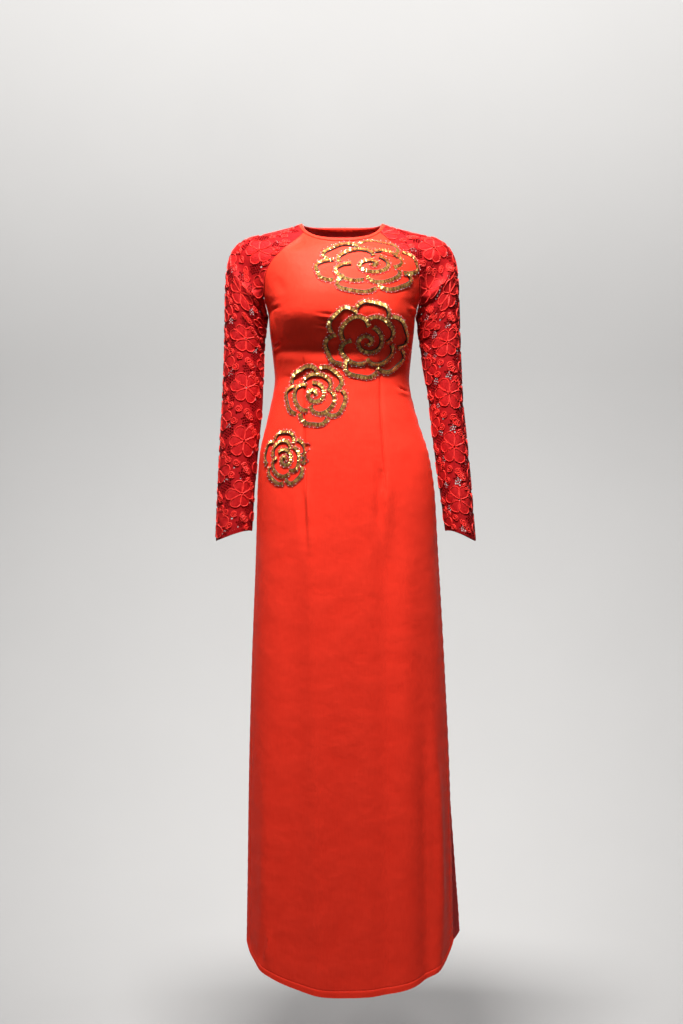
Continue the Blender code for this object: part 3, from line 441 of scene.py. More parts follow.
def normals_of(surface, a, b, step_a, step_b, limits_a, limits_b):
    """Normals of a surface of two parameters, from points on either side of each one."""
    a0, a1 = np.clip(a - step_a, *limits_a), np.clip(a + step_a, *limits_a)
    b0, b1 = np.clip(b - step_b, *limits_b), np.clip(b + step_b, *limits_b)
    return unit(np.cross(surface(a1, b) - surface(a0, b), surface(a, b1) - surface(a, b0)))


# Sharper creases than the hanging folds, each a line through three points of the front or the back as
# seen from straight before it, with its half width and how far it stands out.
CREASE_NAMES = "x0 z0 x1 z1 x2 z2 width rise"
FRONT_CREASES = in_metres(
    CREASE_NAMES,
    (-129, -168, -120, -163, -107, -164, 2.2, -1.7),  # bust dart, right
    (-127, -161, -118, -156.5, -105, -157, 3.4, 1),
    (-124.5, -172, -123, -195, -121.5, -217, 4, 3.2),
    (-126, -227, -119, -224, -109, -220, 3, -4.8),  # end of the side dart
    (-124, -236, -116, -233, -104, -232, 4, 2.9),
    (-45, -177, -25, -179, -3, -184, 2.2, -1.8),  # wrinkles at rose 2
    (-42, -182, -22, -184.5, -2, -190, 2.2, 1.4),
    (-40, -187, -20, -190, 0, -193, 2.2, -1.9),
    (-45, -196, -25, -198.5, -5, -200, 2.4, -1.9),
    (106, -214, 113, -221, 121, -229, 1.8, -3.5),  # wearer's left side
    (107, -221, 113, -227.5, 120, -236, 1.8, 2.6),
    (108, -229, 114, -235, 119, -242, 1.8, -3.2),
    (109, -237, 114, -243, 118, -250, 1.8, 2.2),
    (110, -244, 114, -249, 118, -254, 1.8, -2.6),
    (120, -161, 126.5, -164, 133, -165, 4, 4.8),  # puff at the armhole
    (118, -170, 125, -172, 131, -171.5, 2.2, -3.5),
    (98, -299, 108, -304, 119, -307, 1.8, -2.9),  # crease at the slit's top
    (96, -306, 108, -311, 120, -313, 3.5, 1.9),
    (64, -430, 65, -490, 64, -560, 7, -4.2),  # below the left dart
    (76, -450, 79, -510, 81, -590, 9, 3.8),
    (-70, -400, -61, -408, -54, -402, 3, -2.6),  # pucker, right dart
    (-63, -445, -59, -505, -55, -590, 4.2, 4),
    (-74, -455, -69, -510, -65, -580, 6, -3.2),
    (69.8, -448, 70, -466, 70.4, -486, 2.2, -4.8),  # point of the left dart
    (-70.2, -448, -70, -462, -69.6, -480, 2, -3.2),
    (172, -970, 174.5, -1130, 179, -1290, 6, 4.2),  # down the left edge
    (161, -1020, 164, -1150, 166, -1270, 7, -3.5),
    (-134, -1305, -131, -1286, -129, -1255, 4, 4.5),  # at the hem, right
    (-144, -1310, -140, -1290, -137, -1250, 5, -3.5),
    (-95, -56, -80, -48, -66, -40, 9, -3.2),  # by the raglan seam
    (-118, -108, -108, -125, -104, -142, 8, -2.2),
    (20, -262, 50, -266, 80, -264, 6, -1.9),  # drag at the waist
    (-88, -233, -5, -238.5, 98, -231, 19, -6.8),  # under the bust
    (-122, -233, -100, -233, -70, -235, 9, -4.2),
    (-108, -250, -10, -255, 93, -247, 9, 2.2),
    (-105, -280, -85, -286, -60, -287, 6, -1.6),
)
BACK_CREASES = in_metres(
    CREASE_NAMES,
    (-113, -245, -90, -252, -56, -256, 4.2, -2.9),  # drags at the waist
    (-111, -256, -88, -262, -60, -265, 4, 2.3),
    (-108, -268, -85, -273, -64, -274, 4, -2.3),
    (112, -238, 88, -247, 52, -250, 4.4, -2.9),
    (110, -250, 86, -258, 56, -260, 4.2, 2.3),
    (108, -263, 86, -269, 60, -271, 4, -2.1),
    (-30, -264, 2, -269, 34, -265, 5, -1.8),
    (-121, -132, -103, -150, -93, -175, 6, -2.6),  # from the armholes
    (-126, -148, -113, -164, -105, -186, 5, 2.1),
    (121, -134, 104, -152, 95, -179, 6, -2.6),
    (127, -150, 114, -166, 107, -189, 5, 2.1),
    (120, -300, 106, -306, 93, -305, 2.2, -2.1),  # at the slit's tops
    (-120, -300, -106, -306, -93, -304, 2.2, -2.1),
    (72, -400, 76, -470, 80, -570, 8, 3.1),  # below the darts
    (-73, -400, -78, -480, -81, -590, 8, 3.1),
    (176, -1030, 180, -1170, 185, -1290, 6, 3.1),
    (-152, -1000, -156, -1150, -160, -1290, 7, -2.9),
)

# Across a half panel the points crowd at the dart and at the stitched edge; down it they are close
# as far as the hips, where the small creases are, and crowd again at the hem.
DART_CROWD = np.array([-5, -2.5, -1.2, -0.5, 0, 0.5, 1.2, 2.5, 5]) * 1e-3
EDGE_CROWD = np.array([15, 13.4, 12.5, 11.8, 11.1, 10, 7.5, 4.5, 2, 0.8, 0.2]) * 1e-3
# The soft puckers along the slits and the hem: how long their waves are, how deep and how far in they
# reach; they end where a slit starts, over this stretch of height.
PUCKER_LENGTH, HEM_PUCKER_LENGTH, PUCKER_DEPTH = 0.021, 0.043, 0.0004
SIDE_PUCKER_REACH, HEM_PUCKER_REACH = 0.022, 0.020
SIDE_DRIFT, HEM_DRIFT = (2.4, 31), (2.1, 37)  # how far, and how often, their waves fall out of step
RIGHT_PUCKER = 0.35  # how strong they are at the wearer's right, as a share of the left
SLIT_STARTS, SLIT_CLOSED = (-0.300, -0.330), 0.03  # above it the turned edge lies this far outside
TURNED_RISE, TURN_SOFTNESS = 0.00045, 0.0006  # how far the turned edge stands out, and its step's half width
GROOVE_DEPTH, GROOVE_WIDTH = 0.00050, 0.0010  # where the stitches draw the cloth in
DART_SEAM_WIDTH, DART_SEAM_DEPTH = 0.0011, 0.0030
EASED = 0.004  # from a panel's edge, where the creases die away
CREASE_END, CREASE_STEPS = 0.10, 12  # the share of its rise that a crease has at its ends
HEM_CROWD = 0.016  # from the hem, where the points begin to crowd


def crease_relief(x, z, creases):
    """How far the creases stand out at points of a panel, seen from straight before it."""
    out = np.zeros_like(x)
    run = np.linspace(0, 1, CREASE_STEPS + 1)[:, None]
    for x0, z0, x1, z1, x2, z2, width, rise in creases:
        start, middle, end = np.array([x0, z0]), np.array([x1, z1]), np.array([x2, z2])
        pull = 2 * middle - (start + end) / 2
        line = (1 - run) ** 2 * start + 2 * run * (1 - run) * pull + run ** 2 * end
        low, high = line.min(0) - 3 * width, line.max(0) + 3 * width
        near = (x > low[0]) & (x < high[0]) & (z > low[1]) & (z < high[1])
        point = np.stack([x[near], z[near]], axis=1)
        best, place = np.full(len(point), 9.0), np.zeros(len(point))
        for i in range(len(line) - 1):
            way = line[i + 1] - line[i]
            t = np.clip((point - line[i]) @ way / (way @ way), 0, 1)
            away = np.linalg.norm(point - line[i] - t[:, None] * way, axis=1)
            closer = away < best
            best = np.where(closer, away, best)
            place = np.where(closer, (i + t) / (len(line) - 1), place)
        ends = CREASE_END + (1 - CREASE_END) * np.sin(np.pi * np.clip(place, 0.02, 0.98)) ** 0.8
        out[near] += rise * ends * np.exp(-((best / width) ** 2))
    return out


def dart_seams(panel, across, z):
    """How deep the cloth sinks at the stitched lines of the darts."""
    out = np.zeros_like(across)
    top_z, bottom_z = panel.dart
    run = np.clip((top_z - z) / (top_z - bottom_z), 0, 1)
    for side in (-1, 1):
        gap = (across - side * DART_ACROSS) / DART_SEAM_WIDTH
        out += DART_SEAM_DEPTH * np.sin(np.pi * run) ** 0.4 * np.exp(-(gap ** 2))
    return out


def levels_at(panel, spacings):
    """Levels down a panel's middle, how far down each lies and the whole length. spacings is pairs: a
    length down to reach, None for the hem's own rows, and the step to it."""
    levels = np.linspace(NECK, HEM, 3000)
    line = panel.point(np.zeros(levels.shape), levels)
    run = run_along(line)
    wanted = [0.0]
    for bottom, step in spacings:
        bottom = run[-1] - HEM_CROWD if bottom is None else bottom
        wanted += list(np.linspace(wanted[-1], bottom, round((bottom - wanted[-1]) / step) + 1)[1:])
    wanted = np.concatenate([wanted, run[-1] - EDGE_CROWD[:-1], [run[-1]]])
    return np.interp(wanted, run, levels), wanted, run[-1]


def cloth_wall(name, outer, inner, faces, materials, uv):
    """A closed wall of cloth from its outer and inner faces; the second material is the inside's."""
    faces = np.asarray(faces)
    count = len(outer)
    edges = np.stack([faces, np.roll(faces, -1, axis=1)], axis=-1).reshape(-1, 2)
    rim = edges[~np.isin(edges[:, 0] * count + edges[:, 1], edges[:, 1] * count + edges[:, 0])]
    a, b = rim.T
    every = faces.tolist() + (faces[:, ::-1] + count).tolist()
    every += stack(b, a, a + count, b + count).tolist()
    slots = [0] * len(faces) + [len(materials) - 1] * len(faces) + [0] * len(rim)
    return new_mesh(name, np.vstack([outer, inner]), every, materials, np.vstack([uv, uv]), slots)


def flat_area(faces, uv):
    """The area of a cloth's cut, from where its points lie when it is flat."""
    corners = uv[np.asarray(faces)]
    ahead = np.roll(corners, -1, axis=1)
    return float(abs((corners[..., 0] * ahead[..., 1] - corners[..., 1] * ahead[..., 0]).sum() / 2))


def hand_over(piece, slot, *replaced):
    """Says what a piece rides on and the nodes that it takes the place of. slot is not used."""
    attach(piece, "root")
    if replaced:
        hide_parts(*replaced)


def uneven_wave(along, length, drift, often):
    return np.sin(2 * np.pi * along / length + drift * np.sin(along * often))


def satin_panel(name, panel, creases, spacings, counts, materials):
    levels, down, total = levels_at(panel, spacings)
    length = panel.length(levels)[:, None]
    dart = panel.dart_share(levels)[:, None] * length
    to_dart = np.linspace(0, 1, counts[0])[None, :-1] * (dart + DART_CROWD[0])
    past = dart + DART_CROWD[-1]
    to_edge = past + np.linspace(0, 1, counts[1])[None, 1:-1] * (length - EDGE_CROWD[0] - past)
    half = np.hstack([to_dart, dart + DART_CROWD, to_edge, length - EDGE_CROWD]) / length
    half = np.hstack([half, 1 - SEAM_GAP / 2 / length])
    share = np.hstack([-half[:, :0:-1], half])
    level = np.repeat(levels[:, None], share.shape[1], axis=1)
    points = panel.point(share, level)
    facing = normals_of(panel.point, share, level, 4e-3, 0.03, (-1, 1), (NECK, HEM))
    facing *= np.where((facing[..., 1] * panel.facing).sum() < 0, -1, 1)
    x, z = points[..., 0], points[..., 2]
    below_slit = smooth(*SLIT_STARTS, z)
    to_side = (1 - np.abs(share)) * length + SLIT_CLOSED * (1 - below_slit)
    to_edge = np.minimum(to_side, total - down[:, None])
    turned = smooth(HEM_TURN + TURN_SOFTNESS, HEM_TURN - TURN_SOFTNESS, to_edge)
    groove = np.exp(-(((to_edge - HEM_TURN) / GROOVE_WIDTH) ** 2))
    side_wave = uneven_wave(down[:, None], PUCKER_LENGTH, *SIDE_DRIFT)
    side_pucker = side_wave * np.exp(-((to_side / SIDE_PUCKER_REACH) ** 2))
    side_pucker = side_pucker * np.where(share > 0, 1, RIGHT_PUCKER)
    hem_wave = uneven_wave(share * length, HEM_PUCKER_LENGTH, *HEM_DRIFT)
    hem_pucker = hem_wave * np.exp(-(((total - down[:, None]) / HEM_PUCKER_REACH) ** 2))
    pucker = PUCKER_DEPTH * (side_pucker + hem_pucker)
    ease = np.minimum(1, (1 - np.abs(share)) * length / EASED)
    rise = crease_relief(x, z, creases) * ease + TURNED_RISE * turned - GROOVE_DEPTH * groove
    rise = rise + pucker * below_slit - dart_seams(panel, share * length, z)
    outer = points + facing * rise[..., None]
    inner = outer - facing * (SATIN_THICK * (1 + turned))[..., None]
    quads = grid_quads(*share.shape)[:, ::1 if panel.facing < 0 else -1]
    uv = stack(share * length, -down[:, None] + 0 * share).reshape(-1, 2)
    made = cloth_wall(name, outer.reshape(-1, 3), inner.reshape(-1, 3), quads, materials, uv)
    hand_over(made, "satin", name.replace("satin_", "") + "_panel")
    flat_area(quads, uv)
    return outer, quads


# The weave: long warp floats over a fine weft, and slubs where a thread is thicker.
def new_tree(name, kind, inputs, outputs):
    """A tree with sockets, given as names and kinds: it, what its inputs give, and its output node."""
    tree = bpy.data.node_groups.new(name, kind)
    for way, sockets in (("INPUT", inputs), ("OUTPUT", outputs)):
        for label, socket in sockets.items():
            tree.interface.new_socket(label, in_out=way, socket_type="NodeSocket" + socket)
    return tree, tree.nodes.new("NodeGroupInput").outputs, tree.nodes.new("NodeGroupOutput")


def maths(tree, operation, *values):
    return add_node(tree, "ShaderNodeMath", dict(enumerate(values)), operation=operation)


weave, weave_in, weave_out = new_tree(
    "weave", "ShaderNodeTree", {"Place": "Vector", "Threads": "Float"}, {"Height": "Float", "Slubs": "Float"})
threads = add_node(weave, "ShaderNodeVectorMath", {
    0: weave_in["Place"], "Scale": weave_in["Threads"]}, operation="SCALE")
parted = add_node(weave, "ShaderNodeSeparateXYZ", {0: threads}).outputs
warp = maths(weave, "SINE", maths(weave, "MULTIPLY", parted["X"], 6.2832))
weft = maths(weave, "SINE", maths(weave, "MULTIPLY", parted["Y"], 1.2566))
plug(weave_out, "Height", maths(weave, "MULTIPLY_ADD", warp, weft, 0.5))
stretch = add_node(weave, "ShaderNodeVectorMath", {0: threads, 1: (0.16, 0.012, 0.16)}, operation="MULTIPLY")
plug(weave_out, "Slubs", noise(weave, stretch, 1.0, 3.0))

CRUMPLES_PER_METRE = 22.0


def woven_material(name, dark, light, threads_per_metre, height, rough, crumple=0.0, **shader_values):
    """A cloth. Its colour drifts between dark and light, and its roughness between two values. height
    is how high its weave stands, and crumple its smallest wrinkles, in metres."""
    made, shader = new_material(name, **shader_values)
    tree = made.node_tree
    where = tree.nodes.new("ShaderNodeTexCoord").outputs["UV"]
    woven = add_node(tree, "ShaderNodeGroup", {"Place": where, "Threads": threads_per_metre}, node_tree=weave)
    slubs = woven.outputs["Slubs"]
    drift = noise(tree, where, CRUMPLES_PER_METRE, 4.0)
    share = add_node(tree, "ShaderNodeMapRange", {
        "Value": maths(tree, "ADD", drift, slubs), "From Min": 0.45, "From Max": 1.55})
    plug(shader, "Base Color", mixed_colour(tree, share, dark, light))
    plug(shader, "Roughness", add_node(tree, "ShaderNodeMapRange", {
        "Value": slubs, "From Min": 0.3, "From Max": 0.7, "To Min": rough[0], "To Max": rough[1]}))
    crumpled = add_node(tree, "ShaderNodeBump", {"Height": drift, "Distance": crumple, "Strength": 1.0})
    plug(shader, "Normal", add_node(tree, "ShaderNodeBump", {
        "Height": maths(tree, "ADD", slubs, woven.outputs["Height"]),
        "Distance": height, "Strength": 0.5, "Normal": crumpled}))
    return made


satin = woven_material(
    "red_satin", (0.71, 0.027, 0.013), (0.80, 0.038, 0.019), 3200, 0.00006, (0.40, 0.50), crumple=0.0022,
    sheen_weight=0.05, sheen_roughness=0.45, sheen_tint=(1, 0.25, 0.15, 1), specular_ior_level=0.13,
    specular_tint=(1, 0.42, 0.32, 1))
satin_back = woven_material("red_satin_back", (0.52, 0.014, 0.010), (0.62, 0.020, 0.012), 3200, 0.00008,
                            (0.62, 0.72), sheen_weight=0.2)

front_points, front_quads = satin_panel(
    "satin_front", FRONT, FRONT_CREASES, ((0.46, 0.0027), (None, 0.0055)), (15, 21), (satin, satin_back))
back_points, _ = satin_panel(
    "satin_back", BACK, BACK_CREASES, ((0.50, 0.0040), (None, 0.0080)), (10, 14), (satin, satin_back))


# ================================================================ lace sleeves
# Raglan sleeves of red corded lace: big flowers whose dense petals are outlined in cord, coiled
# rosettes, and patches of open net between them. Each is one piece, sewn up under the arm.

LACE_THICK = 0.0007
# Down to the underarm a sleeve's rows run from the raglan seam of a panel over the shoulder; from
# there down they run round the arm. out_ is the outer side and in_ the underarm side. The pulls are as
# in the panels, at the outer line and at the seam. fold is how far the sleeve has turned at the seam,
# from lying on with the panel to lying against the body's side.
SLEEVE_NAMES = "level* out_x out_y out_z in_x in_y in_z out_pull seam_pull fold*"
RAGLAN_ROWS = (
    (0, 76.2, 0.5, -6.4, 0, 0, 0, 17, 15, 0),
    (1, 95, 3, -12.5, 0, 0, 0, 30, 24, 0),
    (2, 133, 6, -22, 0, 0, 0, 44, 31, 0),
    (3, 170, 8.5, -30, 0, 0, 0, 54, 36, 0),
    (4, 193, 10, -46, 0, 0, 0, 59, 37, 0.05),
    (5, 205.5, 11, -75, 0, 0, 0, 60, 36, 0.50),
    (6, 210, 11.5, -115, 131, 0, -172, 61.3, 61.3, 1),
)
RIGHT_SLEEVE_ROWS = Table(
    SLEEVE_NAMES,
    *RAGLAN_ROWS,
    (7, 211, 12, -165, 134.5, 6, -198, 60, 60, 1),
    (8, 212, 12, -230, 138.5, 10, -242, 57.3, 57.3, 1),
    (9, 215.5, 11, -320, 140.5, 10, -322, 54.7, 54.7, 1),
    (10, 220, 9, -400, 147.5, 8, -400, 52.7, 52.7, 1),
    (11, 223.5, 5, -480, 154.5, 4, -478, 50.7, 50.7, 1),
    (12, 227, 0, -574, 159, -2, -556, 49.3, 49.3, 1),
)
LEFT_SLEEVE_ROWS = Table(
    SLEEVE_NAMES,
    *RAGLAN_ROWS,
    (7, 211.5, 12, -165, 134.5, 6, -198, 60.7, 60.7, 1),
    (8, 213.5, 12, -230, 141, 10, -242, 58.7, 58.7, 1),
    (9, 217.5, 11, -320, 154, 10, -322, 57.3, 57.3, 1),
    (10, 225.5, 9, -400, 162.5, 8, -400, 56, 56, 1),
    (11, 232.5, 5, -480, 173, 4, -478, 55.3, 55.3, 1),
    (12, 239.5, 0, -574, 183, -2, -556, 55.3, 55.3, 1),
)
CUFF = 12
FOLDED_CLEARANCE = 0.0022  # between a sleeve and the body's side, where they lie against each other
FOLDED_SPREAD = 0.30  # how fast they part, as a slope
FOLDED_DROP = 0.1  # how fast the sleeve drops there, as a slope
NEXT_TO_EDGE = 0.985  # the share of a panel's row from which its way at the seam is taken


class Sleeve:
    """Half of a lace sleeve, in front of or behind the line over the shoulder and down the arm's outer
    side. A point is given by its share of the way from that line to the seam, and by its level."""

    def __init__(self, rows, panel, side):
        self.rows, self.panel, self.side = rows, panel, side
        self.dense = np.linspace(NECK, CUFF, FINE_LEVELS)
        points = self.point(np.linspace(0, 1, FINE_SHARES)[:, None], self.dense[None])
        self.across = np.linalg.norm(np.diff(points, axis=0), axis=-1).sum(0)
        self.down = run_along(points[0])

    def point(self, share, level):
        share, level = np.broadcast_arrays(np.asarray(share, float), np.asarray(level, float))
        row = {name: self.rows.at(name, level) for name in self.rows.names[1:]}
        facing = self.panel.facing
        top, under = (stack(*(row[end + way] for way in "xyz")) for end in ("out_", "in_"))
        raglan = np.minimum(level, UNDERARM)
        edge = self.panel.point(np.ones(level.shape), raglan)
        outward = unit(edge - self.panel.point(np.full(level.shape, NEXT_TO_EDGE), raglan))
        seam = np.where((level < UNDERARM)[..., None], edge, under)
        fold = row["fold"][..., None]
        seam = seam + fold * np.array([FOLDED_CLEARANCE, 0, 0])
        back_in = np.array([-FOLDED_SPREAD, -facing, -FOLDED_DROP])
        arrive = unit((fold - 1) * outward + fold * back_in)
        turned = stack(0 * level, facing + 0 * level, 0 * level)
        corners = (top, top + turned * row["out_pull"][..., None],
                   seam - arrive * row["seam_pull"][..., None], seam)
        made = along_bezier(corners, share)
        return made * np.array([self.side, 1, 1])


SLEEVES = {
    f"sleeve_{word}_{half}": Sleeve(rows, panel, side)
    for word, side, rows in (("right", -1, RIGHT_SLEEVE_ROWS), ("left", 1, LEFT_SLEEVE_ROWS))
    for half, panel in (("front", FRONT), ("back", BACK))}


# The lace's repeat is the same way up on both arms, in a half drop. The first flower is measured
# across from the outer line, towards the front, and down along it; the rest of the repeat is
# measured from its flower, towards the wearer's left and down. lean is in degrees.
LACE_ACROSS, LACE_DOWN = 0.052, 0.0975
FIRST_FLOWERS = {-1: (0.019, 0.0418), 1: (0.003, 0.0530)}
NET_PATCHES = in_metres(
    "across down half_across half_down lean*",
    (-30, -20, 8.4, 16, 24),
    (-26, 19, 5.8, 10, -12),
    (1, -37, 6.2, 11.2, -14),
    (-30, -49, 2.6, 11, -42),
    (-16, -56, 2.6, 6.4, -20),
    (-34, 6, 2.2, 5, -30),
    (-49, 18, 3, 9, -12),
)
PATCH_CORNERS = ((-0.35, -1.0), (0.8, -0.7), (1.0, 0.3), (0.2, 1.0), (-0.9, 0.6), (-1.0, -0.3))
ROSETTES = ((-0.0410, 0.0060), (-0.0380, 0.0225), (-0.0285, 0.0320), (-0.0130, 0.0385),
            (-0.0205, -0.0375), (0.0060, -0.0470), (-0.0490, -0.0040))
NET_ACROSS, NET_DOWN, NET_HOLE = 0.0042, 0.0047, 0.00185  # the net's mesh, and half a hole's width
PETALS, PETAL_START, PETAL_END, PETAL_WIDTH, PETAL_TURN = 6, 0.0022, 0.0285, 0.0262, 5
PETAL_FOOT = 0.22  # how much of its breadth a petal has at its foot
PETAL_SWING, PETAL_SWELL = 4, 0.06  # how far the petals differ in direction, in degrees, and in size
PETAL_DOME, CORD_THICK, CORD_LIFT = 0.0009, 0.0018, 0.0007
DOME_EDGE, COIL_RISE = 0.0003, 0.0004  # how far a dome's edge, and a coil's inner end, are lifted too
DOME_RING, RING_RISE = 0.62, 0.28  # how far out a dome's ring lies, and what it adds of the rise
ROSETTE_RADIUS, ROSETTE_TURNS, ROSETTE_SIDES = 0.0068, 1.7, 12
ROSETTE_RIM, COIL_TIGHT = 0.0004, 0.78  # its dome's inset, and how much tighter its coil is inside
ROSETTE_CLEAR = 0.004  # how far to each side of a rosette's middle there has to be cloth
FLOWER_EYE = 0.0014  # the hole at the middle of a flower
PATCH_SLACK = -0.12  # how far past a patch's outline a hole may lie, as a share of its size
HOLE_STRETCH, HOLES_APART = 1.15, 0.0004
PETAL_STEPS, COIL_STEPS, CORD_SIDES = 18, 24, 4
GROUND_STEP, GROUND_CLEAR = 0.0068, 0.0026  # between the ground's own points, and from those to a hole
GROUND_REACH, GROUND_MARGIN, HOLE_MARGIN = 0.16, 0.003, 0.0022  # margins from the sleeve's edges
LACE_EDGE = 0.0010  # kept between the motifs and the sleeve's edges
MOSTLY_OUTSIDE = 0.55  # the share of a petal beyond the edges past which it is left out
BORDER_ROWS, BORDER_COLUMNS = 90, 16  # the points of a sleeve's edges
CUT_SPARE = 0.02  # what the cut has more than the sleeve's greatest width and length
ARM_ROWS, ARM_COLUMNS = 420, 241  # the steps at which a sleeve's surface is worked out


class Arm:
    """The whole of a sleeve's cloth. A place on it is flat: how far across it lies from the outer line,
    towards the front, and how far down along that line."""

    def __init__(self, side, front_half, back_half):
        self.side, self.dense, self.down = side, front_half.dense, front_half.down
        self.widths = (back_half.across, front_half.across)
        shares, level = np.linspace(-1, 1, ARM_COLUMNS), np.linspace(NECK, CUFF, ARM_ROWS)[:, None]
        back, front = (half.point(np.abs(shares)[None], level) for half in (back_half, front_half))
        self.cloth = np.where(shares[None, :, None] < 0, back, front)
        along, round_arm = np.gradient(self.cloth, axis=0), np.gradient(self.cloth, axis=1)
        self.facing = unit(np.cross(round_arm, along)) * side

    def row_at(self, down):
        """The level of the row so far down, and how far it reaches to the back and to the front."""
        level = np.interp(down, self.down, self.dense)
        return level, *(np.interp(level, self.dense, width) for width in self.widths)

    def lifted(self, flat, lift=0.0):
        """Points off the cloth's outer face by lift."""
        across, down = np.asarray(flat, float).T
        level, back, front = self.row_at(down)
        share = np.clip(across / np.where(across < 0, back, front), -1, 1)
        column = (share + 1) / 2 * (ARM_COLUMNS - 1)
        row = (level - NECK) / (CUFF - NECK) * (ARM_ROWS - 1)
        i = np.clip(column.astype(int), 0, ARM_COLUMNS - 2)
        j = np.clip(row.astype(int), 0, ARM_ROWS - 2)
        u, v = (column - i)[..., None], (row - j)[..., None]

        def between(grid):
            upper = grid[j, i] * (1 - u) + grid[j, i + 1] * u
            return upper * (1 - v) + (grid[j + 1, i] * (1 - u) + grid[j + 1, i + 1] * u) * v

        return between(self.cloth) + between(self.facing) * np.asarray(lift)[..., None]

    def within(self, flat, margin=LACE_EDGE):
        """The same places, drawn in to the cloth where they lie beyond its edges."""
        down = np.clip(flat[..., 1], margin, self.down[-1] - margin)
        _, back, front = self.row_at(down)
        return stack(np.clip(flat[..., 0], margin - back, front - margin), down)

    def repeats(self):
        """Where the flowers of the repeat lie, on and round the cloth."""
        first_across, first_down = FIRST_FLOWERS[self.side]
        reach = int(max(width.max() for width in self.widths) / LACE_ACROSS) + 2
        for column, row in itertools.product(range(-reach, reach + 1), range(-1, 8)):
            yield np.array([first_across - self.side * column * LACE_ACROSS,
                            first_down + (row + column % 2 / 2) * LACE_DOWN])

    def holes(self):
        """The holes of the net and the flowers' eyes, each as a loop of corners on the flat cloth."""
        found, outline = [], np.array(PATCH_CORNERS)
        ahead = np.roll(outline, -1, axis=0) - outline
        hexagon = circle(np.radians(np.arange(0, 360, 60)))
        for flower in self.repeats():
            found.append(hexagon * FLOWER_EYE + flower)
            for aside, below, half_across, half_down, lean in NET_PATCHES:
                cos, sin = circle(np.radians(lean))
                for i, j in itertools.product(range(-4, 5), range(-5, 6)):
                    place = np.array([(i + j % 2 / 2) * NET_ACROSS, j * NET_DOWN])
                    away = place / (half_across, half_down) - outline
                    if (ahead[:, 0] * away[:, 1] - ahead[:, 1] * away[:, 0]).min() >= PATCH_SLACK:
                        loop = hexagon * (NET_HOLE, NET_HOLE * HOLE_STRETCH) + place
                        loop = loop @ [[cos, sin], [-sin, cos]] + (aside, below)
                        found.append(loop * (-self.side, 1) + flower)
        return found


def whole_holes(arm):
    """The holes that lie clear of the cloth's edges and of each other, and their middles."""
    kept, middles = [], np.empty((0, 2))
    for loop in arm.holes():
        middle = loop.mean(axis=0)
        near = np.linalg.norm(middles - middle, axis=1) < 2 * NET_HOLE + HOLES_APART
        if not near.any() and np.abs(arm.within(loop, HOLE_MARGIN) - loop).max() <= 1e-9:
            middles = np.vstack([middles, middle])
            kept.append(loop)
    return kept, middles


def lace_ground(name, arm, material):
    """The cloth of a sleeve, cut through at every hole of its net, and the area of its cut."""
    levels = np.linspace(NECK, CUFF, BORDER_ROWS)
    down = np.interp(levels, arm.dense, arm.down)
    back, front = (np.interp(levels, arm.dense, width) for width in arm.widths)
    gap, ends = SEAM_GAP / 2, np.linspace(0, 1, BORDER_COLUMNS)[1:-1, None]
    border = np.vstack([
        stack(front - gap, down),
        (front[-1], down[-1]) - ends * (front[-1] + back[-1], 0),
        stack(gap - back, down)[::-1],
        (-back[0], 0) + ends * (front[0] + back[0], 0)])
    holes, middles = whole_holes(arm)
    loops = [border, *holes]
    starts = [0, *np.cumsum([len(loop) for loop in loops]).tolist()]
    edges = [(a + i, a + (i + 1) % (b - a)) for a, b in itertools.pairwise(starts) for i in range(b - a)]
    grid = np.array(list(itertools.product(np.arange(GROUND_STEP / 2, arm.down[-1], GROUND_STEP),
                                           np.arange(-GROUND_REACH, GROUND_REACH, GROUND_STEP))))[:, ::-1]
    grid = grid[(arm.within(grid, GROUND_MARGIN) == grid).all(axis=1)]
    grid = grid[np.linalg.norm(middles - grid[:, None], axis=-1).min(axis=1) > GROUND_CLEAR]
    flat, _, faces, *_ = delaunay_2d_cdt(np.vstack([*loops, grid]).tolist(), edges, [], 2, 1e-7)
    flat, faces = np.array([tuple(point) for point in flat]), np.array(faces)
    hole_of = np.full(len(flat), -1)  # the number of the hole on whose edge a point lies
    hole_of[len(border):starts[-1]] = np.repeat(np.arange(len(holes)), [len(hole) for hole in holes])
    corners = hole_of[faces]
    in_hole = (corners[:, 0] >= 0) & (corners == corners[:, :1]).all(axis=1)
    faces = faces[~in_hole][:, ::-arm.side]
    uv = flat * (1, -1)
    made = cloth_wall(name, arm.lifted(flat), arm.lifted(flat, -LACE_THICK), faces, [material], uv)
    return made, flat_area(faces, uv)


def cord(points, radius, closed, sides=CORD_SIDES):
    """A round cord along points on a surface: its points and faces."""
    ahead = np.roll(points, -1, axis=0) - np.roll(points, 1, axis=0)
    if not closed:
        ahead[0], ahead[-1] = points[1] - points[0], points[-1] - points[-2]
    ahead = unit(ahead)
    aside = unit(np.cross(ahead, (0.31, 0.17, 0.93)))
    above = np.cross(ahead, aside)
    cos, sin = circle(np.linspace(0, 2 * np.pi, sides, endpoint=False)).T[..., None]
    rings = points[:, None] + radius * (cos * aside[:, None] + sin * above[:, None])
    count = len(points)
    i, j = np.meshgrid(np.arange(count if closed else count - 1), np.arange(sides), indexing="ij")
    here, after, beside = i * sides, (i + 1) % count * sides, (j + 1) % sides
    faces = stack(here + j, after + j, after + beside, here + beside).reshape(-1, 4).tolist()
    if not closed:
        faces += [list(range(sides)), list(range(count * sides - 1, (count - 1) * sides - 1, -1))]
    return rings.reshape(-1, 3), faces


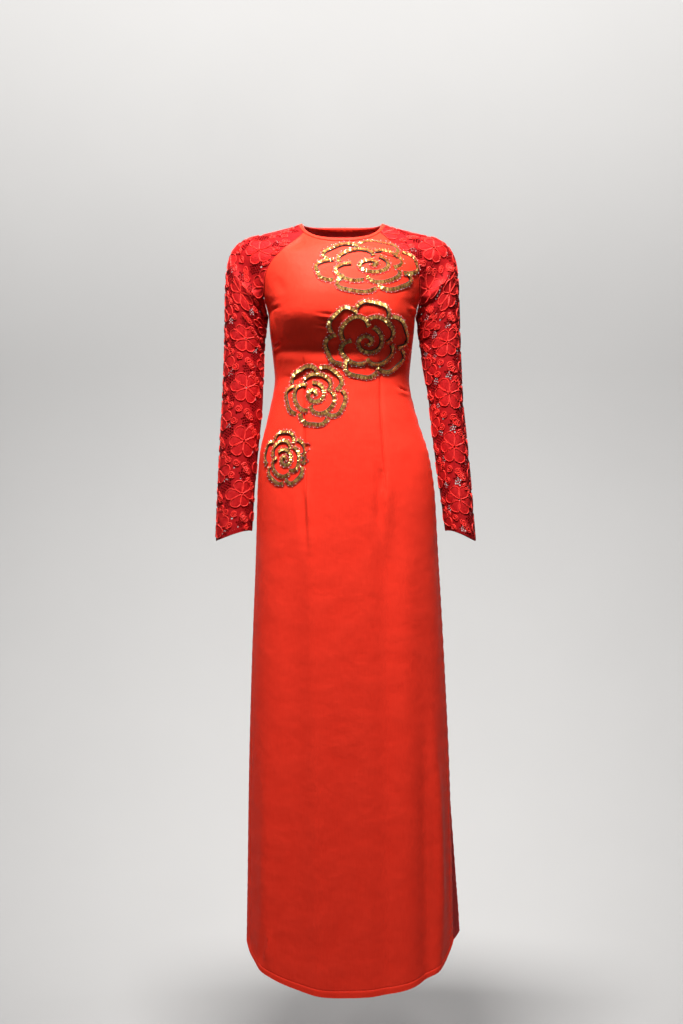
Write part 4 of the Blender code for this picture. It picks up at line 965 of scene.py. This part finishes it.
def dome(middle, outline):
    """A shallow dome from its outline up to its middle, with one ring between them."""
    ring = middle + (outline - middle) * DOME_RING + (middle - outline.mean(axis=0)) * RING_RISE
    here = np.arange(len(outline))
    after, inner = np.roll(here, -1), here + len(outline)
    faces = stack(here, after, np.roll(inner, -1), inner).tolist()
    faces += stack(inner, np.roll(inner, -1), 2 * len(outline)).tolist()
    return np.vstack([outline, ring, [middle]]), faces


class Motifs:
    """Gathers many small shapes into one mesh, with where each point lies on the flat cloth."""

    def __init__(self):
        self.points, self.faces, self.uv, self.slots, self.count = [], [], [], [], 0

    def add(self, points, faces, flat, slot, flip=False):
        self.points.append(points)
        self.uv.append(np.broadcast_to(flat, (len(points), 2)) * (1, -1))
        self.faces += [[i + self.count for i in (face[::-1] if flip else face)] for face in faces]
        self.slots += [slot] * len(faces)
        self.count += len(points)

    def made(self, name, materials):
        return new_mesh(name, np.vstack(self.points), self.faces, materials, np.vstack(self.uv),
                        self.slots, sharp=70)


def outside_share(arm, flat):
    return (np.abs(arm.within(flat) - flat) > 1e-9).any(axis=1).mean()


def lace_motifs(name, arm, materials):
    """The petals and rosettes of a sleeve: domes of close cloth, and the cords on them."""
    motifs = Motifs()

    def add_dome(flat, middle, flip):
        points, faces = dome(arm.lifted(middle, PETAL_DOME), arm.lifted(flat, DOME_EDGE))
        motifs.add(points, faces, np.vstack([flat, flat, [middle]]), 0, flip)

    def add_cord(flat, lift, closed):
        points, faces = cord(arm.lifted(flat, lift), CORD_THICK / 2, closed)
        motifs.add(points, faces, np.repeat(flat, CORD_SIDES, axis=0), 1)

    petal_run = np.linspace(0, 2 * np.pi, PETAL_STEPS, endpoint=False)
    reach = (1 - np.cos(petal_run))[:, None] / 2
    petal_along = PETAL_START + (PETAL_END - PETAL_START) * reach
    breadth = PETAL_FOOT + (1 - PETAL_FOOT) * reach ** 0.8
    petal_across = PETAL_WIDTH / 2 * np.sin(petal_run)[:, None] * breadth
    coil = np.linspace(0, 1, COIL_STEPS)
    coil_radius = ROSETTE_RADIUS * (1 - COIL_TIGHT * coil)[:, None]
    rim = (ROSETTE_RADIUS - ROSETTE_RIM) * circle(np.linspace(0, 2 * np.pi, ROSETTE_SIDES, endpoint=False))
    probe = np.array([[0, 0], [ROSETTE_CLEAR, 0], [-ROSETTE_CLEAR, 0]])
    for number, flower in enumerate(arm.repeats()):
        for petal in range(PETALS):
            swing = PETAL_SWING * math.sin(number * 1.7 + petal * 2.3)
            cos, sin = circle(math.radians(PETAL_TURN + petal * 360 / PETALS + swing))
            size = 1 + PETAL_SWELL * math.sin(number * 2.1 + petal * 4.4)
            loop = petal_along * np.array([cos, sin]) + petal_across * np.array([-sin, cos])
            loop = loop * size * (-arm.side, 1) + flower
            if outside_share(arm, loop) <= MOSTLY_OUTSIDE:
                flat = arm.within(loop)
                add_dome(flat, flat.mean(axis=0), flip=True)
                add_cord(flat, CORD_LIFT, closed=True)
        for aside, below in ROSETTES:
            centre = flower + (-arm.side * aside, below)
            if outside_share(arm, centre + probe) == 0:
                turns = centre + coil_radius * circle(2 * np.pi * ROSETTE_TURNS * coil + number)
                add_cord(arm.within(turns), CORD_LIFT + COIL_RISE * coil, closed=False)
                add_dome(arm.within(centre + rim), centre, flip=arm.side < 0)
    return motifs.made(name, materials)


lace = woven_material("red_lace", (0.26, 0.0025, 0.004), (0.34, 0.004, 0.006), 1500, 0.0002, (0.62, 0.74),
                      specular_ior_level=0.12)
petal_cloth = woven_material("red_petal", (0.34, 0.0035, 0.005), (0.46, 0.007, 0.008), 1500, 0.0002,
                             (0.56, 0.68), specular_ior_level=0.15)
cord_thread = woven_material("red_cord", (0.66, 0.018, 0.014), (0.86, 0.040, 0.030), 2400, 0.0002,
                             (0.42, 0.55), specular_ior_level=0.25)

ARMS = {}
for word, side in (("right", -1), ("left", 1)):
    halves = f"sleeve_{word}_front", f"sleeve_{word}_back"
    arm = ARMS[side] = Arm(side, *(SLEEVES[half] for half in halves))
    motifs = lace_motifs(f"lace_motifs_{word}", arm, (petal_cloth, cord_thread))
    hand_over(motifs, "lace")
    sleeve, cut_area = lace_ground(f"lace_sleeve_{word}", arm, lace)
    hand_over(sleeve, "lace", *halves)
    cut_width = 2 * float(max(width.max() for width in arm.widths)) + CUT_SPARE


# ================================================================ neck binding
# A narrow bias strip of the same satin, bound over the raw edge of the neck. It is folded over to the
# inside, and its ends meet at the seam behind the wearer's left shoulder.

BINDING_THICK, BINDING_STEPS, BINDING_COLUMNS = 0.0005, 320, 34
# The strip's outer face, from its edge outside, over the top, to its edge inside: how far up from the
# neck's edge, and how far out from the cloth.
BINDING_FOLD = Table(
    "number* up out",
    (0, -1.2, 1.1),
    (1, -0.6, 1.5),
    (2, 1.2, 1.7),
    (3, 3.4, 1.6),
    (4, 5.2, 0.8),
    (5, 5.9, -0.6),
    (6, 5.2, -2),
    (7, 3.4, -2.7),
    (8, 1, -2.7),
    (9, -1, -2.5),
)
# The slanting drags of bias cloth: how high, how many, and how many more for each metre across the strip.
BINDING_DRAG, BINDING_DRAGS, DRAG_SLANT = 0.00022, 41, 60
NECK_STEPS, BELOW_NECK = 60, 0.12


def neck_edge():
    """The neck's edge all round: its points, the ways up along the cloth and out from it, and its length."""
    half = np.linspace(0, 1, NECK_STEPS)[:-1]
    whole = np.linspace(-1, 1, 2 * NECK_STEPS)[:-1]
    stretches = (
        (BACK, -whole),
        (SLEEVES["sleeve_right_back"], 1 - half),
        (SLEEVES["sleeve_right_front"], half),
        (FRONT, whole),
        (SLEEVES["sleeve_left_front"], 1 - half),
        (SLEEVES["sleeve_left_back"], half),
    )
    edge, below = (np.vstack([piece.point(shares, level) for piece, shares in stretches])
                   for level in (NECK, BELOW_NECK))
    edge, up = (np.vstack([part, part[:1]]) for part in (edge, unit(edge - below)))
    run = run_along(edge)
    at = np.linspace(0, run[-1], BINDING_STEPS, endpoint=False)
    points, ways = values_at(at, run, edge), values_at(at, run, up)
    for _ in range(4):
        ways = unit(np.roll(ways, 1, axis=0) + 2 * ways + np.roll(ways, -1, axis=0))
    tangent = unit(np.roll(points, -1, axis=0) - np.roll(points, 1, axis=0))
    out = unit(np.cross(tangent, ways))
    out *= np.where((out * (points - points.mean(0))).sum() < 0, -1, 1)
    return *(np.vstack([part, part[:1]])[:, None] for part in (points, ways, out)), run[-1]


neck_points, neck_up, neck_out, neck_length = neck_edge()


def round_neck(up, out):
    """Points round the neck, so far up from its edge and out from its cloth."""
    return (neck_points + neck_up * up[..., None] + neck_out * out[..., None]).reshape(-1, 3)


fold = np.linspace(0, 9, BINDING_COLUMNS)
fold_up, fold_out = BINDING_FOLD.at("up", fold), BINDING_FOLD.at("out", fold)
way_up, way_out = unit(stack(np.gradient(fold_up), np.gradient(fold_out))).T * BINDING_THICK
fold_run = run_along(stack(fold_up, fold_out))
along_neck = np.linspace(0, 1, BINDING_STEPS + 1)[:, None]
drag = BINDING_DRAG * np.sin(2 * np.pi * (along_neck * BINDING_DRAGS + fold_run * DRAG_SLANT))
binding = cloth_wall("neck_binding_strip", round_neck(fold_up, fold_out + drag),
                     round_neck(fold_up - way_out, fold_out - way_up + drag),
                     grid_quads(*drag.shape), (satin, satin_back),
                     stack(along_neck * neck_length, -fold_run).reshape(-1, 2))
hand_over(binding, "binding", "neck_binding")


# ================================================================ beaded roses
# Four roses in outline. Each of their lines is a row of gold bugle beads sewn side by side across it,
# with their inner ends raised; along its inner side runs a near-black cord, painted shade for the shadow
# under those raised ends. A bright red cord edges it outside, couched in scallops and set with small
# crystals. Two petals of the first rose have a ground of satin over the lace.

# turn is in degrees, and shift is how far a rose's heart lies from its centre.
ROSES = in_metres(
    "centre_x centre_z half_width half_height turn* shift_x shift_z outer_petals* line_width",
    (43, -94, 96, 50.5, 12, 10, 4, 6, 8),
    (43, -221.5, 78, 69, 18, 2, -4, 6, 8),
    (-45.5, -317, 56.5, 57, 48, -4, 2, 5, 8),
    (-99.5, -428, 39, 50.5, 90, 0, -2, 5, 7),
)
# A ring's petals overlap like tiles: each line leaves the ring inside it at foot_a, swells out to
# its crown and comes down on the next petal at foot_b. fewer is how many petals less a ring has than
# the outer one, first where its first petal lies, in degrees on from the rose's turn, spread how much
# of its place a petal spans, and steps the line's stretches.
PETAL_RINGS = (  # fewer, first, spread, foot_a, foot_b, crown, squareness, ripple, steps
    (0, 0, 1.08, 0.56, 0.72, 0.96, 0.52, 0.035, 6),
    (2, 25, 1.06, 0.32, 0.46, 0.66, 0.50, 0.015, 5),
)
SWIRL_STEPS, SWIRL_TURNS, SWIRL_INNER, SWIRL_OUTER = 9, 1.15, 0.10, 0.37
SWIRL_HEART = 0.33  # how much further than its solid the swirl winds in, as a share of its length
FINENESS = 10  # how many times finer than its solid a line is here
BUGLE_LENGTH, BUGLE_RADIUS, BUGLE_PITCH, BUGLE_TILT = 0.0062, 0.00088, 0.00195, 15
# The inner cord is painted shade: near-black, it stands for the shadow under the raised inner ends of the
# bugles.
INNER_CORD, INNER_CORD_RADIUS = 0.0035, 0.00110  # how far from the line's middle, and how thick
EDGE_CORD, EDGE_CORD_RADIUS = 0.0036, 0.00065
SCALLOPS, SCALLOP_RADIUS, SCALLOP_PITCH = 0.0047, 0.00080, 0.00155
CRYSTALS, CRYSTAL_RADIUS, CRYSTAL_PITCH = 0.0048, 0.00070, 0.0080
CRYSTAL_LIFT, CRYSTAL_STRAY, BEAD_CLEAR, CORD_STEP = 0.0014, 0.0013, 0.0003, 0.0016
FULL_LINE = 0.0080  # the width of line for which these sizes are given; they scale with it
CROSSING = 0.0044  # nearer than this to another line, the end of a line stops
OTHER_ENDS = 0.09  # the share at each end of the other line that doesn't stop it
NEVER_CUT = 0.22  # how far from its middle a line is never cut, as a share of its length
BELOW_FROM, BELOW_REACH = 0.012, 0.03  # where the look for the cloth under a point starts, and its reach
FILLED_PETALS = (0, 1)  # of the first rose, with a ground of satin
GROUND_LIFT, GROUND_THICK, GROUND_GRID = 0.0012, 0.0005, 0.0035
CAST_FROM, SEAM_STEP, BEHIND = -1.0, 0.0009, 0.006


def petal_lines(rose, fineness):
    """The petals and the swirled heart of a rose, as lines of (x, z) points."""
    centre_x, centre_z, half_width, half_height, turn, shift_x, shift_z, outer_petals, _ = rose

    def place(radius, degrees):
        angle = np.radians(degrees)
        return np.stack([centre_x + shift_x * (1 - radius) + half_width * radius * np.cos(angle),
                         centre_z + shift_z * (1 - radius) + half_height * radius * np.sin(angle)], axis=1)

    lines = []
    for fewer, first, spread, foot_a, foot_b, crown, squareness, ripple, steps in PETAL_RINGS:
        petals = int(outer_petals) - fewer
        t = np.linspace(0, 1, steps * fineness + 1)
        arch = np.sin(np.pi * t) ** squareness
        foot = foot_a + (foot_b - foot_a) * t
        radius = foot + (crown - foot) * arch + ripple * np.sin(3 * np.pi * t) * np.sin(np.pi * t)
        for petal in range(petals):
            middle = turn + first + petal * 360 / petals
            lines.append(place(radius, middle + (t - 0.5) * spread * 360 / petals))
    t = np.linspace(-SWIRL_HEART, 1, round(SWIRL_STEPS * fineness * (1 + SWIRL_HEART)) + 1)
    lines.append(place(SWIRL_INNER + (SWIRL_OUTER - SWIRL_INNER) * t, turn + t * 360 * SWIRL_TURNS))
    return lines


class Cloth:
    """The cloth under the roses: the front and the left sleeve's smooth surface."""

    def __init__(self):
        sleeve = ARMS[1].cloth
        points = np.vstack([front_points.reshape(-1, 3), sleeve.reshape(-1, 3)])
        faces = np.vstack([front_quads, grid_quads(*sleeve.shape[:2]) + front_points[..., 0].size])
        self.tree = BVHTree.FromPolygons(points.tolist(), faces.tolist())

    def met(self, x, z):
        """The cloth's point and facing at (x, z), as met from in front."""
        hits = []
        for aside in (0, SEAM_STEP, -SEAM_STEP):
            place, facing, _, _ = self.tree.ray_cast((x + aside, CAST_FROM, z), (0, 1, 0))
            if place is not None:
                hits.append((np.array(place), np.array(facing) * (1 if facing.y < 0 else -1)))
        foremost = min(hits, key=lambda hit: hit[0][1])
        return hits[0] if hits[0][0][1] < foremost[0][1] + BEHIND else foremost

    def below(self, point, facing):
        """The cloth's point straight under a point near it."""
        place, *_ = self.tree.ray_cast(point + facing * BELOW_FROM, -facing, BELOW_REACH)
        return point if place is None else np.array(place)


def even(values, weights=(1, 2, 3, 2, 1)):
    """Values along a line, each averaged with its neighbours."""
    reach = len(weights) // 2
    padded = np.pad(values, ((reach, reach), (0, 0)), mode="edge")
    return sum(w * padded[i:i + len(values)] for i, w in enumerate(weights)) / sum(weights)


def kept_stretches(lines):
    """The stretches of each line that are left where its ends come upon another line."""
    for number, line in enumerate(lines):
        share = np.linspace(0, 1, len(line))
        rest = np.vstack([other[int(OTHER_ENDS * len(other)):int((1 - OTHER_ENDS) * len(other))]
                          for i, other in enumerate(lines) if i != number])
        near = np.linalg.norm(line[:, None] - rest[None], axis=-1).min(axis=1) < CROSSING
        near &= np.abs(share - 0.5) > NEVER_CUT
        kept = np.flatnonzero(~near)
        yield line[kept[0]:kept[-1] + 1]


class Row:
    """A line of a rose on the cloth: its points, and at each the ways along it, out from the cloth and
    to its inner side."""

    def __init__(self, line, centre, cloth):
        self.cloth = cloth
        points, facing = (np.array(part) for part in zip(*(cloth.met(*point) for point in line)))
        self.points, self.facing = even(points), unit(even(even(facing)))
        self.along = unit(np.gradient(self.points, axis=0))
        self.inward = unit(np.cross(self.facing, self.along))
        to_centre = np.array([centre[0], 0, centre[1]]) - self.points * (1, 0, 1)
        if (self.inward * to_centre).sum() < 0:
            self.inward = -self.inward

    def spaced(self, aside, lift, pitch, offset=0.5):
        """Points at equal steps along the row, so far towards its inner side and off the cloth."""
        over = zip(self.points + self.inward * aside, self.facing)
        moved = np.array([self.cloth.below(*place) for place in over]) + self.facing * lift
        run = run_along(moved)
        count = max(3, round(run[-1] / pitch))
        at = (np.arange(count) + offset) * run[-1] / count if offset else np.linspace(0, run[-1], count)
        return [values_at(at, run, values) for values in (moved, self.facing, self.along, self.inward)]


def lay_tree(name, shape_node, shape_inputs):
    """A tree that sets a small shape on each point, along its axis and with its top out of the cloth,
    turned a little at random, and gives each a random tone."""
    tree, given, output = new_tree(name, "GeometryNodeTree", {
        "Points": "Geometry", "Size": "Vector", "Sway": "Float", "Seed": "Int", "Material": "Material"},
        {"Geometry": "Geometry"})
    shape = add_node(tree, shape_node, shape_inputs)
    axis, facing = (add_node(tree, "GeometryNodeInputNamedAttribute", {"Name": label},
                             data_type="FLOAT_VECTOR") for label in ("axis", "facing"))
    stood = add_node(tree, "FunctionNodeAlignRotationToVector", {"Vector": axis}, axis="Z")
    turned = add_node(tree, "FunctionNodeAlignRotationToVector", {
        "Rotation": stood, "Vector": facing}, axis="X", pivot_axis="Z")
    random = add_node(tree, "FunctionNodeRandomValue", {
        0: (-1, -1, -1), 1: (1, 1, 1), "Seed": given["Seed"]}, data_type="FLOAT_VECTOR")
    sway = add_node(tree, "ShaderNodeVectorMath", {0: random, "Scale": given["Sway"]}, operation="SCALE")
    euler = add_node(tree, "FunctionNodeEulerToRotation", {"Euler": sway})
    swayed = add_node(tree, "FunctionNodeRotateRotation", {
        "Rotation": turned, "Rotate By": euler}, rotation_space="LOCAL")
    laid = add_node(tree, "GeometryNodeInstanceOnPoints", {
        "Points": given["Points"], "Instance": shape, "Rotation": swayed, "Scale": given["Size"]})
    tone = add_node(tree, "FunctionNodeRandomValue", {"Seed": given["Seed"]}, data_type="FLOAT").outputs[1]
    toned = add_node(tree, "GeometryNodeStoreNamedAttribute", {
        "Geometry": laid, "Name": "tone", "Value": tone}, data_type="FLOAT", domain="INSTANCE")
    real = add_node(tree, "GeometryNodeRealizeInstances", {"Geometry": toned})
    plug(output, "Geometry", add_node(tree, "GeometryNodeSetMaterial", {
        "Geometry": real, "Material": given["Material"]}))
    return tree


def lay(name, tree, points, axis, facing, sharp=60, **inputs):
    """A plain mesh of the shapes that a tree sets on points."""
    mesh = bpy.data.meshes.new(name)
    mesh.from_pydata(np.asarray(points).tolist(), [], [])
    for label, ways in (("axis", axis), ("facing", facing)):
        mesh.attributes.new(label, "FLOAT_VECTOR", "POINT").data.foreach_set(
            "vector", np.asarray(ways, np.float32).ravel())
    made = place_object(name, mesh)
    modifier = made.modifiers.new("lay", "NODES")
    modifier.node_group = tree
    for item in tree.interface.items_tree:
        if item.in_out == "INPUT" and item.name in inputs:
            modifier[item.identifier] = inputs[item.name]
    graph = bpy.context.evaluated_depsgraph_get()
    laid = bpy.data.meshes.new_from_object(made.evaluated_get(graph), depsgraph=graph)
    made.modifiers.clear()
    made.data = laid
    laid.shade_smooth()
    laid.set_sharp_from_angle(angle=math.radians(sharp))
    return made


def toned_material(name, dark, light, **shader_values):
    """A material whose colour runs from dark to light with each piece's own tone."""
    made, shader = new_material(name, **shader_values)
    tone = add_node(made.node_tree, "ShaderNodeAttribute", attribute_name="tone").outputs["Fac"]
    plug(shader, "Base Color", mixed_colour(made.node_tree, tone, dark, light))
    return made


def petal_ground(name, outline, cloth):
    """The satin under a petal, cut to its outline."""
    low, high = outline.min(axis=0), outline.max(axis=0)
    loop = outline[::5]
    grid = itertools.product(*(np.arange(low[i], high[i], GROUND_GRID) for i in range(2)))
    edges = [(i, (i + 1) % len(loop)) for i in range(len(loop))]
    flat, _, faces, *_ = delaunay_2d_cdt([Vector(point) for point in (*loop, *grid)], edges, [], 1, 1e-7)
    used = sorted({i for face in faces for i in face})
    faces = np.searchsorted(used, np.array(faces))
    uv = np.array([tuple(flat[i]) for i in used])
    places, facings = (np.array(part) for part in zip(*(cloth.met(*point) for point in uv)))
    outer = places + facings * (GROUND_LIFT + GROUND_THICK)
    corners = outer[faces]
    across = np.cross(corners[:, 1] - corners[:, 0], corners[:, 2] - corners[:, 0])
    faces = np.where(across[:, 1:2] < 0, faces, faces[:, ::-1])
    made = cloth_wall(name, outer, outer - facings * GROUND_THICK, faces, (satin, satin_back), uv)
    hand_over(made, "satin")


gold_bead = toned_material("gold_bugle", (0.38, 0.12, 0.022), (1.0, 0.68, 0.22), metallic=0.72,
                           roughness=0.23, coat_weight=0.5, coat_roughness=0.10)
# Painted shade: the near-black colour of the inner cord stands for the shadow under the raised bead ends.
shade_painted_cord = toned_material("shade_painted_cord", (0.020, 0.008, 0.005), (0.05, 0.02, 0.01), roughness=0.6)
bright_cord = toned_material("bright_red_cord", (0.42, 0.004, 0.004), (0.74, 0.012, 0.008),
                             roughness=0.42, sheen_weight=0.2)
crystal = toned_material("crystal", (0.80, 0.76, 0.82), (0.98, 0.97, 1.0), roughness=0.06, coat_weight=1.0)
bugle_tree = lay_tree("lay_bugles", "GeometryNodeMeshCylinder", {"Vertices": 7, "Radius": 1.0, "Depth": 2.0})
bead_tree = lay_tree("lay_beads", "GeometryNodeMeshIcoSphere", {"Radius": 1.0, "Subdivisions": 1})

cloth = Cloth()
rng = np.random.default_rng(7)
tilt = math.radians(BUGLE_TILT)
for number, rose in enumerate(ROSES, start=1):
    scale = rose[-1] / FULL_LINE
    half = BUGLE_LENGTH * scale / 2
    sets = {"bugles": [], "scallops": [], "crystals": []}
    cords = Motifs()
    for line in kept_stretches(petal_lines(rose, FINENESS)):
        row = Row(line, rose[:2], cloth)
        points, facing, along, inward = row.spaced(
            0, BUGLE_RADIUS + half * math.sin(tilt) + BEAD_CLEAR, BUGLE_PITCH)
        sets["bugles"].append((points, inward * math.cos(tilt) + facing * math.sin(tilt), facing))
        points, facing, along, _ = row.spaced(-SCALLOPS * scale, SCALLOP_RADIUS * 0.8, SCALLOP_PITCH)
        sets["scallops"].append((points, along, facing))
        points, facing, along, inward = row.spaced(-CRYSTALS * scale, CRYSTAL_LIFT, CRYSTAL_PITCH)
        jitter = rng.uniform(-CRYSTAL_STRAY, CRYSTAL_STRAY, (len(points), 2))
        sets["crystals"].append((points + along * jitter[:, :1] + inward * jitter[:, 1:], along, facing))
        # The first cord is painted shade, near-black under the raised bead ends; the second is the bright red
        # edge.
        for aside, radius, slot in ((INNER_CORD, INNER_CORD_RADIUS, 0), (-EDGE_CORD, EDGE_CORD_RADIUS, 1)):
            line = row.spaced(aside * scale, radius * 0.9, CORD_STEP, offset=0)[0]
            cords.add(*cord(line, radius, closed=False, sides=6), (0, 0), slot)
    hand_over(cords.made(f"rose_{number}_cords", (shade_painted_cord, bright_cord)), "beads")
    for kind, tree, material, size, sway, sharp in (
            ("bugles", bugle_tree, gold_bead, (BUGLE_RADIUS, BUGLE_RADIUS, half), 0.30, 60),
            ("scallops", bead_tree, bright_cord, [SCALLOP_RADIUS] * 3, 0.5, 60),
            ("crystals", bead_tree, crystal, [CRYSTAL_RADIUS] * 3, 1.5, 15)):
        places = (np.vstack(part) for part in zip(*sets[kind]))
        piece = lay(f"rose_{number}_{kind}", tree, *places, sharp,
                    Size=size, Sway=sway, Seed=number, Material=material)
        hand_over(piece, "beads", *([f"rose_{number}"] if kind == "bugles" else []))
for petal in FILLED_PETALS:
    petal_ground(f"rose_1_ground_{petal}", petal_lines(ROSES[0], FINENESS)[petal], cloth)


# ================================================================ stitches
# The slit edges and the rounded hem are blind-stitched along their turning, and so are the cuffs.

THREAD_RADIUS, STITCH_LENGTH, STITCH_PITCH = 0.00022, 0.0022, 0.0060
CUFF_STITCH_PITCH, CUFF_STEPS = 0.0042, 120
HEM_COLUMN, HEM_ROW = 8, -8  # where EDGE_CROWD puts a panel's stitched line
SLIT_TOP, CUFF_TURN, CUFF_LIFT, CUFF_END = -0.318, 0.0080, 0.0013, 0.002

thread = toned_material("red_thread", (0.46, 0.010, 0.006), (0.70, 0.022, 0.012), roughness=0.45)


def hem_line(grid, facing_y):
    """A panel's stitched line, from one slit's top round the hem to the other: its points and facings."""
    facing = unit(np.cross(np.gradient(grid, axis=0), np.gradient(grid, axis=1)))
    facing *= np.sign((facing[..., 1] * facing_y).sum())
    start = int(np.argmax(grid[:, HEM_COLUMN, 2] < SLIT_TOP))
    far = -HEM_COLUMN - 1
    return [np.vstack([part[start:HEM_ROW, HEM_COLUMN], part[HEM_ROW, HEM_COLUMN:far + 1],
                       part[start:HEM_ROW, far][::-1]]) for part in (grid, facing)]


def cuff_line(arm):
    """The stitched line round a cuff: its points and facings."""
    across = np.linspace(CUFF_END - arm.widths[0][-1], arm.widths[1][-1] - CUFF_END, CUFF_STEPS)
    flat = stack(across, arm.down[-1] - CUFF_TURN)
    points = arm.lifted(flat, CUFF_LIFT)
    return points, unit(arm.lifted(flat, 2 * CUFF_LIFT) - points)


def stitches(name, slot, line, pitch):
    points, facing = line
    run = run_along(points)
    at = np.arange(pitch / 2, run[-1], pitch)
    placed, along, out = (values_at(at, run, part) for part in (points, np.gradient(points, axis=0), facing))
    made = lay(name, bead_tree, placed, unit(along), out, Sway=0.08, Seed=3, Material=thread,
               Size=(THREAD_RADIUS, THREAD_RADIUS, STITCH_LENGTH / 2))
    hand_over(made, slot)


stitches("front_hem_stitches", "satin", hem_line(front_points, -1), STITCH_PITCH)
stitches("back_hem_stitches", "satin", hem_line(back_points, 1), STITCH_PITCH)
stitches("right_cuff_stitches", "lace", cuff_line(ARMS[-1]), CUFF_STITCH_PITCH)
stitches("left_cuff_stitches", "lace", cuff_line(ARMS[1]), CUFF_STITCH_PITCH)
